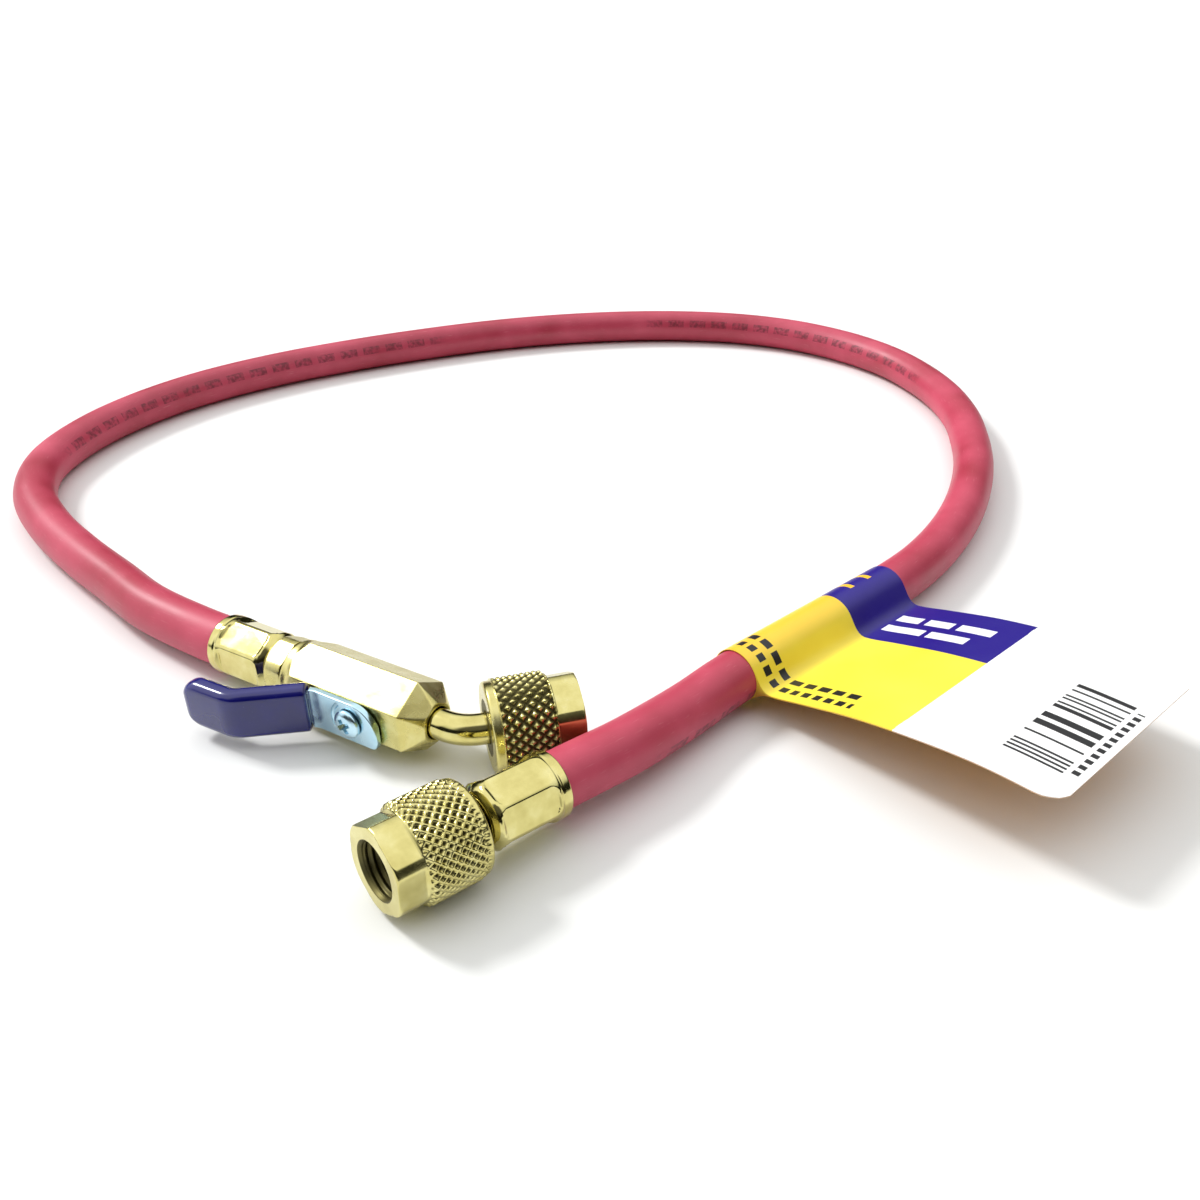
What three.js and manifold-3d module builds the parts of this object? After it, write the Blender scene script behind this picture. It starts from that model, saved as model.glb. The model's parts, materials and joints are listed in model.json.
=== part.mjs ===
// A refrigerant charging hose: a stiff rubber hose with crimped brass ends, lying in one open loop.
// One end has a swivel nut. The other has a small ball valve, a bent tube and a second swivel nut.
// A film tag is folded round the hose. Millimetres, +Z up, the floor at z = 0.

import * as THREE from 'three';
import { mergeVertices } from 'three/addons/utils/BufferGeometryUtils.js';
import Module from 'manifold-3d';

const wasm = await Module();
wasm.setup();

const degree = Math.PI / 180;
const fit = 0.3; // clearance between pieces that touch or run in each other
const roundSteps = 32; // sides of a turned piece
const smallSteps = 20; // sides of a small or hidden one
const arcSteps = 4; // straight steps in a quarter of an outline's arc
const boreRadius = 2.2; // the passage that the refrigerant takes

// Hose
const hoseDiameter = 11.5;
const hoseSides = 12;
const straightDiameters = 1.5; // how far the hose leaves a ferrule straight, in hose diameters
const stepDiameters = 1.5; // one straight step of the hose's solid, in hose diameters

// Crimped ferrules
const ferruleRadius = 6.7;
const ferruleLength = 16.5;
const socketDepth = 2.6;
const crimpDepth = 0.6;
const crimpStart = 3.0;
const crimpLength = 11.4;
const crimpCount = 6;
const crimpCorner = 2.2;
const shoulderRadius = 5.2;
const tailDepth = 3.0; // how far a neck reaches into its ferrule

// Swivel nuts
const knurlRadius = 9.53;
const nutLength = 18.3;
const rimLength = 1.8;
const rimInset = 0.35;
const rimChamfer = 0.9;
const collarLength = 6.0;
const collarAcrossFlats = 15.9;
const collarCornerRadius = 8.65;
const mouthChamfer = 0.5;
const threadRadius = 5.3;
const threadDepth = 13.0;
const seatDepth = 7.7; // from the mouth to the face of the neck's head

// Necks, and the head that holds each nut
const neckRadius = 3.175;
const neckStandoff = 1.6;
const neckFlangeRadius = 4.6;
const headRadius = 4.7;
const headCone = 1.5;
const recessRadius = 4.1;
const recessDepth = 2.0;
const sealProud = 0.6;
const sealBore = 1.9;
const depressorBase = 1.0;
const depressorPin = 0.75;
const depressorLength = 3.6;

// Ball valve
const bodyAcrossFlats = 14.3;
const adapterAcrossFlats = 12.7;
const adapterLength = 5.1;
const bodyLength = 37.0;
const bodyShoulder = 2.2;
const bodyLeftCone = 1.8;
const bodyRightCone = 4.1;
const bodyTipRadius = 4.2;
const tubeSocketDepth = 4.5;
const stemOffset = 21.6; // from the body's hose end to the stem
const ballRadius = 4.8;
const seatLength = 2.0;
const seatOverlap = 0.2;
const stemRadius = 2.6;
const stemFlat = 2.0;
const tongueWidth = 1.4;
const tongueDepth = 1.2;

// Lever
const plateThickness = 1.5;
const plateTop = 4.5;
const plateBottom = 4.7;
const plateReach = 6.8;
const plateRun = 10.0; // flat stretch from the stem towards the handle
const jogOut = 10.2;
const jogRun = 12.4;
const handleRun = 12.8;
const bendRadius = 5.0;
const gripThickness = 4.1;
const gripHeight = 10.4;
const gripCorner = 4.4;
const gripStart = 10.8; // from the stem to the edge of the grip
const gripWall = 1.2;
const screwHeadRadius = 3.1;
const screwHeadHeight = 1.5;
const screwRadius = 1.25;
const screwLength = 4.0;
const crossWidth = 0.9;
const crossSpan = 3.6;
const crossDepth = 0.8;

// Bent tube
const tubeLead = 2.0;
const tubeBend = 9.5;
const bendAngle = 48;
const tubeSteps = 20;
const nutGap = 0.6; // from the end of the bend to the nut's back

// Film tag
const tagWidth = 54.0;
const tagThickness = 0.6;
const tagCorner = 5.0;
const tagStart = 62.6;
const tagClearance = 0.45;
const tagAxisY = -37.18;
const tagCurve = [
  [3.0, 5.75], [9.5, 6.3], [18.0, 8.7], [30.0, 12.0], [43.0, 14.6], [57.0, 16.5], [72.5, 17.0],
]; // the flag's middle line: how far out from the hose's axis, and how high

// Where the two ends lie: the front ferrule's hose end, and the valve ferrule's
const frontEnd = { x: 8.8, y: -39.68, azimuth: 177, rise: 1.5, roll: 15 };
const valveEnd = { x: -11.7, y: 46.37, azimuth: -74.6, rise: 1.65, roll: 0 };

// The hose's way over the floor, between its two straight ends
const hoseRoute = [
  [46.1, -38.5, 6.6], [59.1, -37.5, 6.7], [71.1, -37.18, 6.85], [87.1, -37.18, 6.85],
  [103.1, -37.18, 6.85], [117.1, -37.18, 6.85], [135.1, -35.03, 6], [153.1, -31.03, 5.75],
  [170.1, -25.33, 5.75], [186.1, -18.03, 5.75], [201.1, -9.53, 5.75], [215.1, 0.47, 5.75],
  [229.1, 12.27, 5.75], [242.1, 27.27, 5.75], [252.1, 44.27, 5.75], [258.6, 62.27, 5.75],
  [260.6, 83.27, 5.75], [257.1, 105.27, 5.75], [248.1, 124.87, 5.75], [234.6, 142.27, 5.75],
  [216.1, 158.87, 5.75], [195.1, 172.87, 5.75], [171.1, 184.87, 5.75], [143.1, 194.87, 5.75],
  [115.1, 202.17, 5.75], [86.1, 206.87, 5.75], [57.1, 206.87, 5.75], [32.1, 201.27, 5.75],
  [11.1, 191.17, 5.75], [-5.9, 176.27, 5.75], [-15.7, 157.27, 5.75], [-19.3, 135.27, 5.75],
  [-19.5, 113.27, 5.75], [-18.5, 93.27, 6], [-17.8, 75.27, 6.5],
];

// Values that follow from the ones above
const hoseRadius = hoseDiameter / 2;
const nutBack = ferruleLength + fit + neckStandoff + fit;
const bodyStart = ferruleLength + fit + adapterLength + fit;
const bodyEnd = bodyStart + bodyLength;
const stemX = bodyStart + stemOffset;
const bodyFlat = bodyAcrossFlats / 2;
const bodyCorner = bodyFlat / Math.cos(30 * degree);
const chamberRadius = ballRadius + fit;
const seatFar = ballRadius + seatOverlap;
const chamberEnd = seatFar + fit;
const plateInner = bodyFlat + fit;
const plateOuter = plateInner + plateThickness;
const tagAxisZ = hoseRadius + tagClearance + tagThickness + 0.05;
const frontZ = knurlRadius - nutBack * Math.sin(frontEnd.rise * degree) + 0.03;
const valveZ = bodyCorner - (bodyStart + bodyShoulder) * Math.sin(valveEnd.rise * degree) + 0.03;

const brass = new THREE.MeshStandardMaterial({ color: 0xcfc477, roughness: 0.28, metalness: 1 });
const steel = new THREE.MeshStandardMaterial({ color: 0xc8d6e0, roughness: 0.35, metalness: 1 });
const redRubber = new THREE.MeshStandardMaterial({ color: 0xc8455c, roughness: 0.5, metalness: 0 });
const blackRubber = new THREE.MeshStandardMaterial({ color: 0x1c1c1e, roughness: 0.7, metalness: 0 });
const seatPlastic = new THREE.MeshStandardMaterial({ color: 0xf0efe8, roughness: 0.5, metalness: 0 });
const blueVinyl = new THREE.MeshStandardMaterial({ color: 0x1d1f7a, roughness: 0.25, metalness: 0 });
const printedFilm = new THREE.MeshStandardMaterial({ color: 0xf6e04a, roughness: 0.4, metalness: 0 });

const alongX = new THREE.Matrix4().makeBasis(
  new THREE.Vector3(0, 1, 0), new THREE.Vector3(0, 0, 1), new THREE.Vector3(1, 0, 0));
const alongY = new THREE.Matrix4().makeBasis(
  new THREE.Vector3(1, 0, 0), new THREE.Vector3(0, 0, 1), new THREE.Vector3(0, -1, 0));
const axisToX = new THREE.Matrix4().makeBasis(
  new THREE.Vector3(0, 0, 1), new THREE.Vector3(1, 0, 0), new THREE.Vector3(0, 1, 0));

// A solid for cutting and joining, from a geometry whose shared corners are merged
function solid(geometry) {
  const bare = geometry.clone();
  bare.deleteAttribute('normal');
  bare.deleteAttribute('uv');
  const merged = mergeVertices(bare, 1e-4);
  const corners = merged.index.array;
  const faces = [];
  for (let i = 0; i < corners.length; i += 3) {
    const [a, b, c] = [corners[i], corners[i + 1], corners[i + 2]];
    if (a !== b && b !== c && c !== a) faces.push(a, b, c);
  }
  return new wasm.Manifold(new wasm.Mesh({
    numProp: 3,
    vertProperties: new Float32Array(merged.attributes.position.array),
    triVerts: new Uint32Array(faces),
  }));
}

// A three.js geometry from a solid
function surface(body) {
  const mesh = body.getMesh();
  const geometry = new THREE.BufferGeometry();
  geometry.setAttribute('position', new THREE.BufferAttribute(mesh.vertProperties, 3));
  geometry.setIndex(new THREE.BufferAttribute(mesh.triVerts, 1));
  geometry.computeVertexNormals();
  return geometry;
}

// A piece turned round the x axis, from [x, radius] pairs listed with x rising along its outside
function turned(profile, steps = roundSteps) {
  const points = profile.map(([x, radius]) => new THREE.Vector2(radius, x));
  return new THREE.LatheGeometry(points, steps).applyMatrix4(axisToX);
}

// A turned bar from x0 to x1
function bar(x0, x1, radius, steps = roundSteps) {
  return turned([[x0, 0], [x0, radius], [x1, radius], [x1, 0]], steps);
}

// A plain prism over an outline, whose repeated points are dropped
function prism(shape, depth) {
  const apart = (points) => points.filter((point, i) => point.distanceTo(points.at(i - 1)) > 1e-3);
  const { shape: rim, holes } = shape.extractPoints(arcSteps);
  const outline = new THREE.Shape(apart(rim));
  outline.holes = holes.map((hole) => new THREE.Path(apart(hole)));
  return new THREE.ExtrudeGeometry(outline, { depth, bevelEnabled: false });
}

// An outline drawn in y and z, drawn out along x
function drawnAlongX(shape, x0, x1) {
  return prism(shape, x1 - x0).applyMatrix4(alongX).translate(x0, 0, 0);
}

// An outline drawn in x and z, drawn out from y = -y0 to y = -y1
function drawnAlongY(shape, y0, y1) {
  return prism(shape, y1 - y0).applyMatrix4(alongY).translate(0, -y0, 0);
}

// An outline drawn in x and y, drawn out along z
function drawnAlongZ(shape, z0, z1) {
  return prism(shape, z1 - z0).translate(0, 0, z0);
}

// A regular outline with its corners on a circle, and a flat side at angle 0
function polygon(cornerRadius, sides) {
  const points = [];
  for (let i = 0; i < sides; i += 1) {
    const angle = 360 * degree * (i + 0.5) / sides;
    points.push(new THREE.Vector2(cornerRadius * Math.cos(angle), cornerRadius * Math.sin(angle)));
  }
  return new THREE.Shape(points);
}

// A hexagon with a corner at the top and at the bottom
function hexagon(acrossFlats) {
  return polygon(acrossFlats / 2 / Math.cos(30 * degree), 6);
}

// A rectangle with round corners; the radii are those of the low and the high end
function roundedBox(x0, x1, y0, y1, low, high) {
  const shape = new THREE.Shape();
  shape.moveTo(x0 + low, y0);
  shape.lineTo(x1 - high, y0);
  if (high > 0) shape.absarc(x1 - high, y0 + high, high, -90 * degree, 0, false);
  shape.lineTo(x1, y1 - high);
  if (high > 0) shape.absarc(x1 - high, y1 - high, high, 0, 90 * degree, false);
  shape.lineTo(x0 + low, y1);
  if (low > 0) shape.absarc(x0 + low, y1 - low, low, 90 * degree, 180 * degree, false);
  shape.lineTo(x0, y0 + low);
  if (low > 0) shape.absarc(x0 + low, y0 + low, low, 180 * degree, 270 * degree, false);
  return shape;
}

// The points of a bent line whose inner corners are rounded with one radius
function filleted(corners, radius, steps = 6) {
  const points = [corners[0].clone()];
  for (let i = 1; i < corners.length - 1; i += 1) {
    const back = corners[i - 1].clone().sub(corners[i]).normalize();
    const ahead = corners[i + 1].clone().sub(corners[i]).normalize();
    const half = Math.acos(back.dot(ahead)) / 2;
    const reach = radius / Math.tan(half);
    const start = corners[i].clone().addScaledVector(back, reach);
    const end = corners[i].clone().addScaledVector(ahead, reach);
    const curve = new THREE.QuadraticBezierCurve(start, corners[i], end);
    points.push(...curve.getPoints(steps));
  }
  points.push(corners.at(-1).clone());
  return points;
}

// The outline of a strip of one thickness that follows a line
function ribbon(line, thickness) {
  const left = [];
  const right = [];
  line.forEach((point, i) => {
    const before = line[Math.max(i - 1, 0)];
    const after = line[Math.min(i + 1, line.length - 1)];
    const along = after.clone().sub(before).normalize();
    const side = new THREE.Vector2(-along.y, along.x).multiplyScalar(thickness / 2);
    left.push(point.clone().add(side));
    right.push(point.clone().sub(side));
  });
  return new THREE.Shape([...right, ...left.reverse()]);
}

function part(name, geometry, material) {
  const mesh = new THREE.Mesh(geometry, material);
  mesh.name = name;
  return mesh;
}

// The crimped shell that grips the hose: a socket at x = 0, and a ring of pressed flats
function ferrule() {
  const shell = solid(turned([
    [0, 0], [0, ferruleRadius - 0.4], [0.4, ferruleRadius], [ferruleLength - 1.4, ferruleRadius],
    [ferruleLength - 0.5, (ferruleRadius + shoulderRadius) / 2], [ferruleLength, shoulderRadius],
    [ferruleLength, 0],
  ]));
  const hoseSocket = solid(bar(-1, socketDepth, hoseRadius + fit));
  const neckSocket = solid(bar(ferruleLength - tailDepth, ferruleLength + 1, neckRadius + fit));
  let crimped = shell.subtract(hoseSocket).subtract(neckSocket);
  const flat = ferruleRadius - crimpDepth;
  const halfWidth = flat * Math.tan(180 * degree / crimpCount) - 0.3;
  const press = drawnAlongY(
    roundedBox(crimpStart, crimpStart + crimpLength, -halfWidth, halfWidth, 0.4, crimpCorner),
    flat, ferruleRadius + 1);
  for (let i = 0; i < crimpCount; i += 1) {
    const turnedPress = press.clone().rotateX(360 * degree * i / crimpCount);
    crimped = crimped.subtract(solid(turnedPress));
  }
  return surface(crimped);
}

// The swivel nut, its back at x = 0 and its mouth at x = nutLength
function swivelNut() {
  const rimRadius = knurlRadius - rimInset;
  const collarStart = nutLength - collarLength;
  const barrel = solid(turned([
    [0, 0], [0, rimRadius - rimChamfer], [rimChamfer, rimRadius], [rimLength, rimRadius],
    [rimLength, knurlRadius], [collarStart - 0.5, knurlRadius], [collarStart + 0.4, collarCornerRadius],
    [collarStart + 0.4, 0],
  ]));
  const collarRound = solid(turned([
    [collarStart, 0], [collarStart, collarCornerRadius],
    [nutLength - mouthChamfer, collarCornerRadius], [nutLength, collarCornerRadius - mouthChamfer],
    [nutLength, 0],
  ]));
  const collar = solid(drawnAlongX(hexagon(collarAcrossFlats), collarStart, nutLength));
  const bore = solid(bar(nutLength - threadDepth, nutLength + 1, threadRadius));
  const backHole = solid(bar(-1, nutLength, neckRadius + fit));
  return surface(barrel.add(collar.intersect(collarRound)).subtract(bore).subtract(backHole));
}

// The head of a neck, seen from the nut's mouth: [x, radius] pairs from the shaft to the passage
function headProfile(nutStart) {
  const face = nutStart + nutLength - seatDepth;
  const back = nutStart + nutLength - threadDepth + fit;
  return [
    [back, neckRadius], [back + headCone, headRadius], [face, headRadius], [face, recessRadius],
    [face - recessDepth, recessRadius], [face - recessDepth, boreRadius],
  ];
}

// The gasket that seals a head against the flare that the nut pulls in
function seal(nutStart) {
  const face = nutStart + nutLength - seatDepth;
  const low = face - recessDepth + fit;
  const high = face + sealProud;
  const outer = recessRadius - fit;
  return turned([[low, sealBore], [low, outer], [high - 0.3, outer], [high, outer - 0.3], [high, sealBore],
    [low, sealBore]]);
}

// The pin that opens a service port's core, standing in the passage of the bent tube's head
function coreDepressor(nutStart) {
  const face = nutStart + nutLength - seatDepth;
  const low = face - recessDepth - 2 * fit - depressorBase;
  const base = low + depressorBase;
  const outer = boreRadius - fit;
  return turned([[low, 0], [low, outer], [base, outer], [base, depressorPin],
    [low + depressorLength - 0.2, depressorPin], [low + depressorLength, depressorPin - 0.2],
    [low + depressorLength, 0]], smallSteps);
}

// The short brass neck that joins the front ferrule and its nut
function frontNeck() {
  const tail = ferruleLength - tailDepth + fit;
  const flange = ferruleLength + fit;
  return turned([
    [tail, boreRadius], [tail, neckRadius], [flange, neckRadius], [flange, neckFlangeRadius],
    [flange + neckStandoff, neckFlangeRadius], [flange + neckStandoff, neckRadius],
    ...headProfile(nutBack), [tail, boreRadius],
  ]);
}

// The adapter between the valve ferrule and the body: a hexagon, and a plug inside the body
function valveAdapter() {
  const tail = ferruleLength - tailDepth + fit;
  const hexStart = ferruleLength + fit;
  const hexEnd = hexStart + adapterLength;
  const plugEnd = stemX - chamberEnd - fit;
  const rounding = adapterAcrossFlats / 2 + 0.55;
  const rod = solid(bar(tail, hexStart + 1, neckRadius));
  const plug = solid(bar(hexEnd - 1, plugEnd, ballRadius));
  const hex = solid(drawnAlongX(hexagon(adapterAcrossFlats), hexStart, hexEnd));
  const round = solid(turned([
    [hexStart, 0], [hexStart, rounding - 0.9], [hexStart + 0.9, rounding], [hexEnd, rounding], [hexEnd, 0],
  ]));
  const passage = solid(bar(tail - 1, plugEnd + 1, boreRadius));
  return surface(hex.intersect(round).add(rod).add(plug).subtract(passage));
}

// The hexagonal body, its ends turned down, open from the hose side to the tube's socket
function valveBody() {
  const shoulder = bodyFlat - 0.1;
  const tip = bodyCorner + 0.05;
  const round = solid(turned([
    [bodyStart, 0], [bodyStart, shoulder - 0.6], [bodyStart + 0.7, shoulder],
    [bodyStart + bodyShoulder, shoulder], [bodyStart + bodyShoulder + bodyLeftCone, tip],
    [bodyEnd - bodyRightCone, tip], [bodyEnd, bodyTipRadius], [bodyEnd, 0],
  ]));
  const hex = solid(drawnAlongX(hexagon(bodyAcrossFlats), bodyStart, bodyEnd));
  const chamber = solid(bar(bodyStart - 1, stemX + chamberEnd, chamberRadius));
  const passage = solid(bar(stemX, bodyEnd + 1, boreRadius));
  const tubeSocket = solid(bar(bodyEnd - tubeSocketDepth, bodyEnd + 1, neckRadius + fit));
  const stemHole = solid(bar(0, bodyFlat + 1, stemRadius + fit).applyMatrix4(xToMinusY(stemX)));
  return surface(hex.intersect(round).subtract(chamber).subtract(passage).subtract(tubeSocket)
    .subtract(stemHole));
}

// Turns a piece made along x so that it points along -y at a place on the valve's axis
function xToMinusY(x) {
  const turn = new THREE.Matrix4().makeRotationZ(-90 * degree);
  return new THREE.Matrix4().makeTranslation(x, 0, 0).multiply(turn);
}

// A ring that the ball turns against; side is -1 towards the hose and 1 towards the tube
function ballSeat(side) {
  const near = seatFar - seatLength;
  const profile = [
    [near, ballRadius - 0.7], [near, ballRadius], [seatFar, ballRadius], [seatFar, boreRadius + fit],
    [near, ballRadius - 0.7],
  ];
  const ring = turned(profile);
  if (side < 0) ring.rotateZ(180 * degree);
  return ring.translate(stemX, 0, 0);
}

// The ball, its hole in line with the hose, and a slot for the stem's tongue
function valveBall() {
  const slot = (tongueWidth + 2 * fit) / 2;
  const ball = solid(new THREE.SphereGeometry(ballRadius, smallSteps, smallSteps / 2));
  const passage = solid(bar(-ballRadius - 1, ballRadius + 1, boreRadius));
  const slotCut = solid(drawnAlongY(
    roundedBox(-ballRadius, ballRadius, -slot, slot, 0, 0), ballRadius - tongueDepth - fit, ballRadius + 1));
  return surface(ball.subtract(passage).subtract(slotCut)).translate(stemX, 0, 0);
}

// The stem, from its tongue in the ball to the two flats that carry the lever
function valveStem() {
  const shaftStart = ballRadius + fit;
  const end = plateOuter - fit;
  const shaft = solid(bar(shaftStart, end, stemRadius, smallSteps));
  const tongue = solid(drawnAlongX(
    roundedBox(-stemRadius + 0.4, stemRadius - 0.4, -tongueWidth / 2, tongueWidth / 2, 0, 0),
    ballRadius - tongueDepth, shaftStart + 1));
  const outside = solid(drawnAlongX(
    roundedBox(-stemRadius - 1, stemRadius + 1, stemFlat, stemRadius + 1, 0, 0), bodyFlat, end + 1));
  const screwHole = solid(bar(end - screwLength, end + 1, screwRadius + fit, smallSteps));
  const stem = shaft.add(tongue).subtract(outside).subtract(outside.mirror([0, 0, 1])).subtract(screwHole);
  return surface(stem).applyMatrix4(xToMinusY(stemX));
}

// The line that the lever's steel follows, seen from above: flat, out from the body, then parallel
function leverLine(middle, reach, handle) {
  return filleted([
    new THREE.Vector2(stemX + reach, -middle),
    new THREE.Vector2(stemX - plateRun, -middle),
    new THREE.Vector2(stemX - plateRun - jogRun, -middle - jogOut),
    new THREE.Vector2(stemX - plateRun - jogRun - handle, -middle - jogOut - 0.6),
  ], bendRadius);
}

// The steel plate: a rounded tongue over the body's flat, bent out and on into the grip
function leverPlate() {
  const middle = plateInner + plateThickness / 2;
  const strip = solid(drawnAlongZ(
    ribbon(leverLine(middle, plateReach, handleRun - 2), plateThickness), -plateBottom, plateTop));
  const low = stemX - plateRun - jogRun - handleRun;
  const half = gripHeight / 2 - gripWall - fit;
  const neckEnd = stemX - gripStart + fit;
  const side = new THREE.Shape();
  side.moveTo(low, -half);
  side.lineTo(neckEnd, -half);
  side.lineTo(neckEnd + 1.5, -plateBottom);
  side.lineTo(stemX + plateReach - 1.6, -plateBottom);
  side.absarc(stemX + plateReach - 1.6, -plateBottom + 1.6, 1.6, -90 * degree, 0, false);
  side.lineTo(stemX + plateReach, -1.5);
  side.absarc(stemX + plateReach - 6, plateTop - 6, 6, 0, 90 * degree, false);
  side.lineTo(neckEnd + 1.5, plateTop);
  side.lineTo(neckEnd, half);
  side.lineTo(low, half);
  const outline = solid(drawnAlongY(side, 0, middle + jogOut + gripThickness));
  const hole = solid(drawnAlongX(
    roundedBox(-stemRadius - fit, stemRadius + fit, -stemFlat - fit, stemFlat + fit, 0.6, 0.6),
    0, plateOuter + 1).applyMatrix4(xToMinusY(stemX)));
  return surface(strip.intersect(outline).subtract(hole));
}

// The dipped vinyl grip, a sleeve with one open end, round the plate's handle
function leverGrip() {
  const middle = plateInner + plateThickness / 2;
  const low = stemX - plateRun - jogRun - handleRun;
  const high = stemX - gripStart;
  const half = gripHeight / 2;
  const grip = ribbon(leverLine(middle, plateReach, handleRun), gripThickness);
  const sleeve = solid(drawnAlongZ(grip, -half, half));
  const outline = solid(drawnAlongY(
    roundedBox(low, high, -half, half, gripCorner, 0.5), 0, middle + jogOut + gripThickness));
  const pocket = solid(drawnAlongZ(
    ribbon(leverLine(middle, plateReach, handleRun - 2 + fit), plateThickness + 2 * fit),
    -half + gripWall, half - gripWall));
  const clear = solid(drawnAlongZ(
    roundedBox(low, stemX + plateReach, -plateInner + fit / 2, 0, 0, 0), -half - 1, half + 1));
  return surface(sleeve.intersect(outline).subtract(pocket).subtract(clear));
}

// The cross-head screw that holds the plate on the stem
function leverScrew() {
  const base = plateOuter + fit;
  const top = base + screwHeadHeight;
  const tip = plateOuter - fit - screwLength + fit;
  const turnedScrew = solid(turned([
    [tip, 0], [tip, screwRadius], [base, screwRadius], [base, screwHeadRadius],
    [base + 0.7, screwHeadRadius], [top - 0.25, screwHeadRadius - 0.7], [top, screwHeadRadius - 1.5], [top, 0],
  ], smallSteps));
  const arm = roundedBox(-crossSpan / 2, crossSpan / 2, -crossWidth / 2, crossWidth / 2, 0, 0);
  const slot = drawnAlongX(arm, top - crossDepth, top + 1);
  const cross = solid(slot).add(solid(slot.clone().rotateX(90 * degree))).rotate([30, 0, 0]);
  return surface(turnedScrew.subtract(cross)).applyMatrix4(xToMinusY(stemX));
}

// The line of the bent tube, in the valve's frame, with a straight run through the nut
function tubeLine(start, runOut) {
  const bendStart = bodyEnd + tubeLead;
  const points = [new THREE.Vector3(start, 0, 0), new THREE.Vector3(bendStart - 1, 0, 0)];
  const steps = 8;
  for (let i = 0; i <= steps; i += 1) {
    const angle = bendAngle * degree * i / steps;
    points.push(new THREE.Vector3(
      bendStart + tubeBend * Math.sin(angle), tubeBend * (1 - Math.cos(angle)), 0));
  }
  const ahead = new THREE.Vector3(Math.cos(bendAngle * degree), Math.sin(bendAngle * degree), 0);
  const end = points.at(-1);
  points.push(end.clone().addScaledVector(ahead, 1), end.clone().addScaledVector(ahead, runOut));
  return new THREE.CatmullRomCurve3(points, false, 'centripetal');
}

function tubeSolid(radius, start, runOut) {
  const path = tubeLine(start, runOut);
  const options = { steps: tubeSteps, extrudePath: path, bevelEnabled: false };
  return solid(new THREE.ExtrudeGeometry(polygon(radius, smallSteps), options));
}

// Moves a piece made in the bent nut's frame into the valve's frame
function nutPlace() {
  const angle = bendAngle * degree;
  const x = bodyEnd + tubeLead + tubeBend * Math.sin(angle);
  const y = tubeBend * (1 - Math.cos(angle));
  return new THREE.Matrix4().makeTranslation(x, y, 0).multiply(new THREE.Matrix4().makeRotationZ(angle));
}

// The brass tube from the body's socket, through its bend, to the head inside the nut
function bentTube() {
  const start = bodyEnd - tubeSocketDepth + fit;
  const headEnd = nutGap + nutLength - seatDepth;
  const profile = headProfile(nutGap);
  const headBack = profile[0][0];
  const head = solid(turned([
    [headBack - 1, 0], [headBack - 1, neckRadius - 0.05], ...profile.slice(0, 3), [headEnd, 0],
  ]).applyMatrix4(nutPlace()));
  const recess = solid(bar(headEnd - recessDepth, headEnd + 1, recessRadius).applyMatrix4(nutPlace()));
  const outside = tubeSolid(neckRadius, start, headBack + 0.5);
  const inside = tubeSolid(boreRadius, start - 1, headEnd + 1);
  return surface(outside.add(head).subtract(inside).subtract(recess));
}

// The film tag: a sleeve round the hose, and the flag that its two plies make
function filmTag() {
  const inner = hoseRadius + tagClearance;
  const sleeveShape = polygon(inner + tagThickness, roundSteps);
  sleeveShape.holes.push(new THREE.Path(polygon(inner, roundSteps).getPoints()));
  const sleeve = solid(drawnAlongX(sleeveShape, 0, tagWidth));
  const line = new THREE.SplineCurve(tagCurve.map(([out, z]) => new THREE.Vector2(-out, z - tagAxisZ)));
  const flag = solid(drawnAlongX(ribbon(line.getPoints(18), tagThickness), 0, tagWidth));
  const clearance = solid(bar(-1, tagWidth + 1, inner + tagThickness / 2));
  const reach = tagCurve.at(-1)[0];
  const plan = roundedBox(-reach - 1, 0, -tagWidth, 0, tagCorner, 0);
  const outline = solid(drawnAlongZ(plan, -2 * hoseRadius, reach).rotateZ(90 * degree));
  const trimmed = flag.subtract(clearance).intersect(outline);
  return surface(sleeve.add(trimmed)).translate(tagStart, tagAxisY, tagAxisZ);
}

// The group of one end, its x axis along the fitting and away from the hose
function endGroup(end, z) {
  const group = new THREE.Group();
  group.position.set(end.x, end.y, z);
  group.rotation.set(0, -end.rise * degree, end.azimuth * degree, 'ZYX');
  return group;
}

// A point on an end's axis, in the part's frame
function onAxis(group, x) {
  group.updateMatrixWorld(true);
  return group.localToWorld(new THREE.Vector3(x, 0, 0));
}

const front = endGroup(frontEnd, frontZ);
front.add(
  part('front_ferrule', ferrule().rotateX(frontEnd.roll * degree), brass),
  part('front_neck', frontNeck(), brass),
  part('front_nut', swivelNut().translate(nutBack, 0, 0), brass),
  part('front_seal', seal(nutBack), blackRubber),
);

const valve = endGroup(valveEnd, valveZ);
valve.add(
  part('valve_ferrule', ferrule().rotateX(valveEnd.roll * degree), brass),
  part('valve_adapter', valveAdapter(), brass),
  part('valve_body', valveBody(), brass),
  part('hose_side_seat', ballSeat(-1), seatPlastic),
  part('tube_side_seat', ballSeat(1), seatPlastic),
  part('valve_ball', valveBall(), steel),
  part('valve_stem', valveStem(), brass),
  part('lever_plate', leverPlate(), steel),
  part('lever_grip', leverGrip(), blueVinyl),
  part('lever_screw', leverScrew(), steel),
  part('bent_tube', bentTube(), brass),
  part('bent_nut', swivelNut().translate(nutGap, 0, 0).applyMatrix4(nutPlace()), brass),
  part('bent_seal', seal(nutGap).applyMatrix4(nutPlace()), blackRubber),
  part('core_depressor', coreDepressor(nutGap).applyMatrix4(nutPlace()), brass),
);

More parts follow.
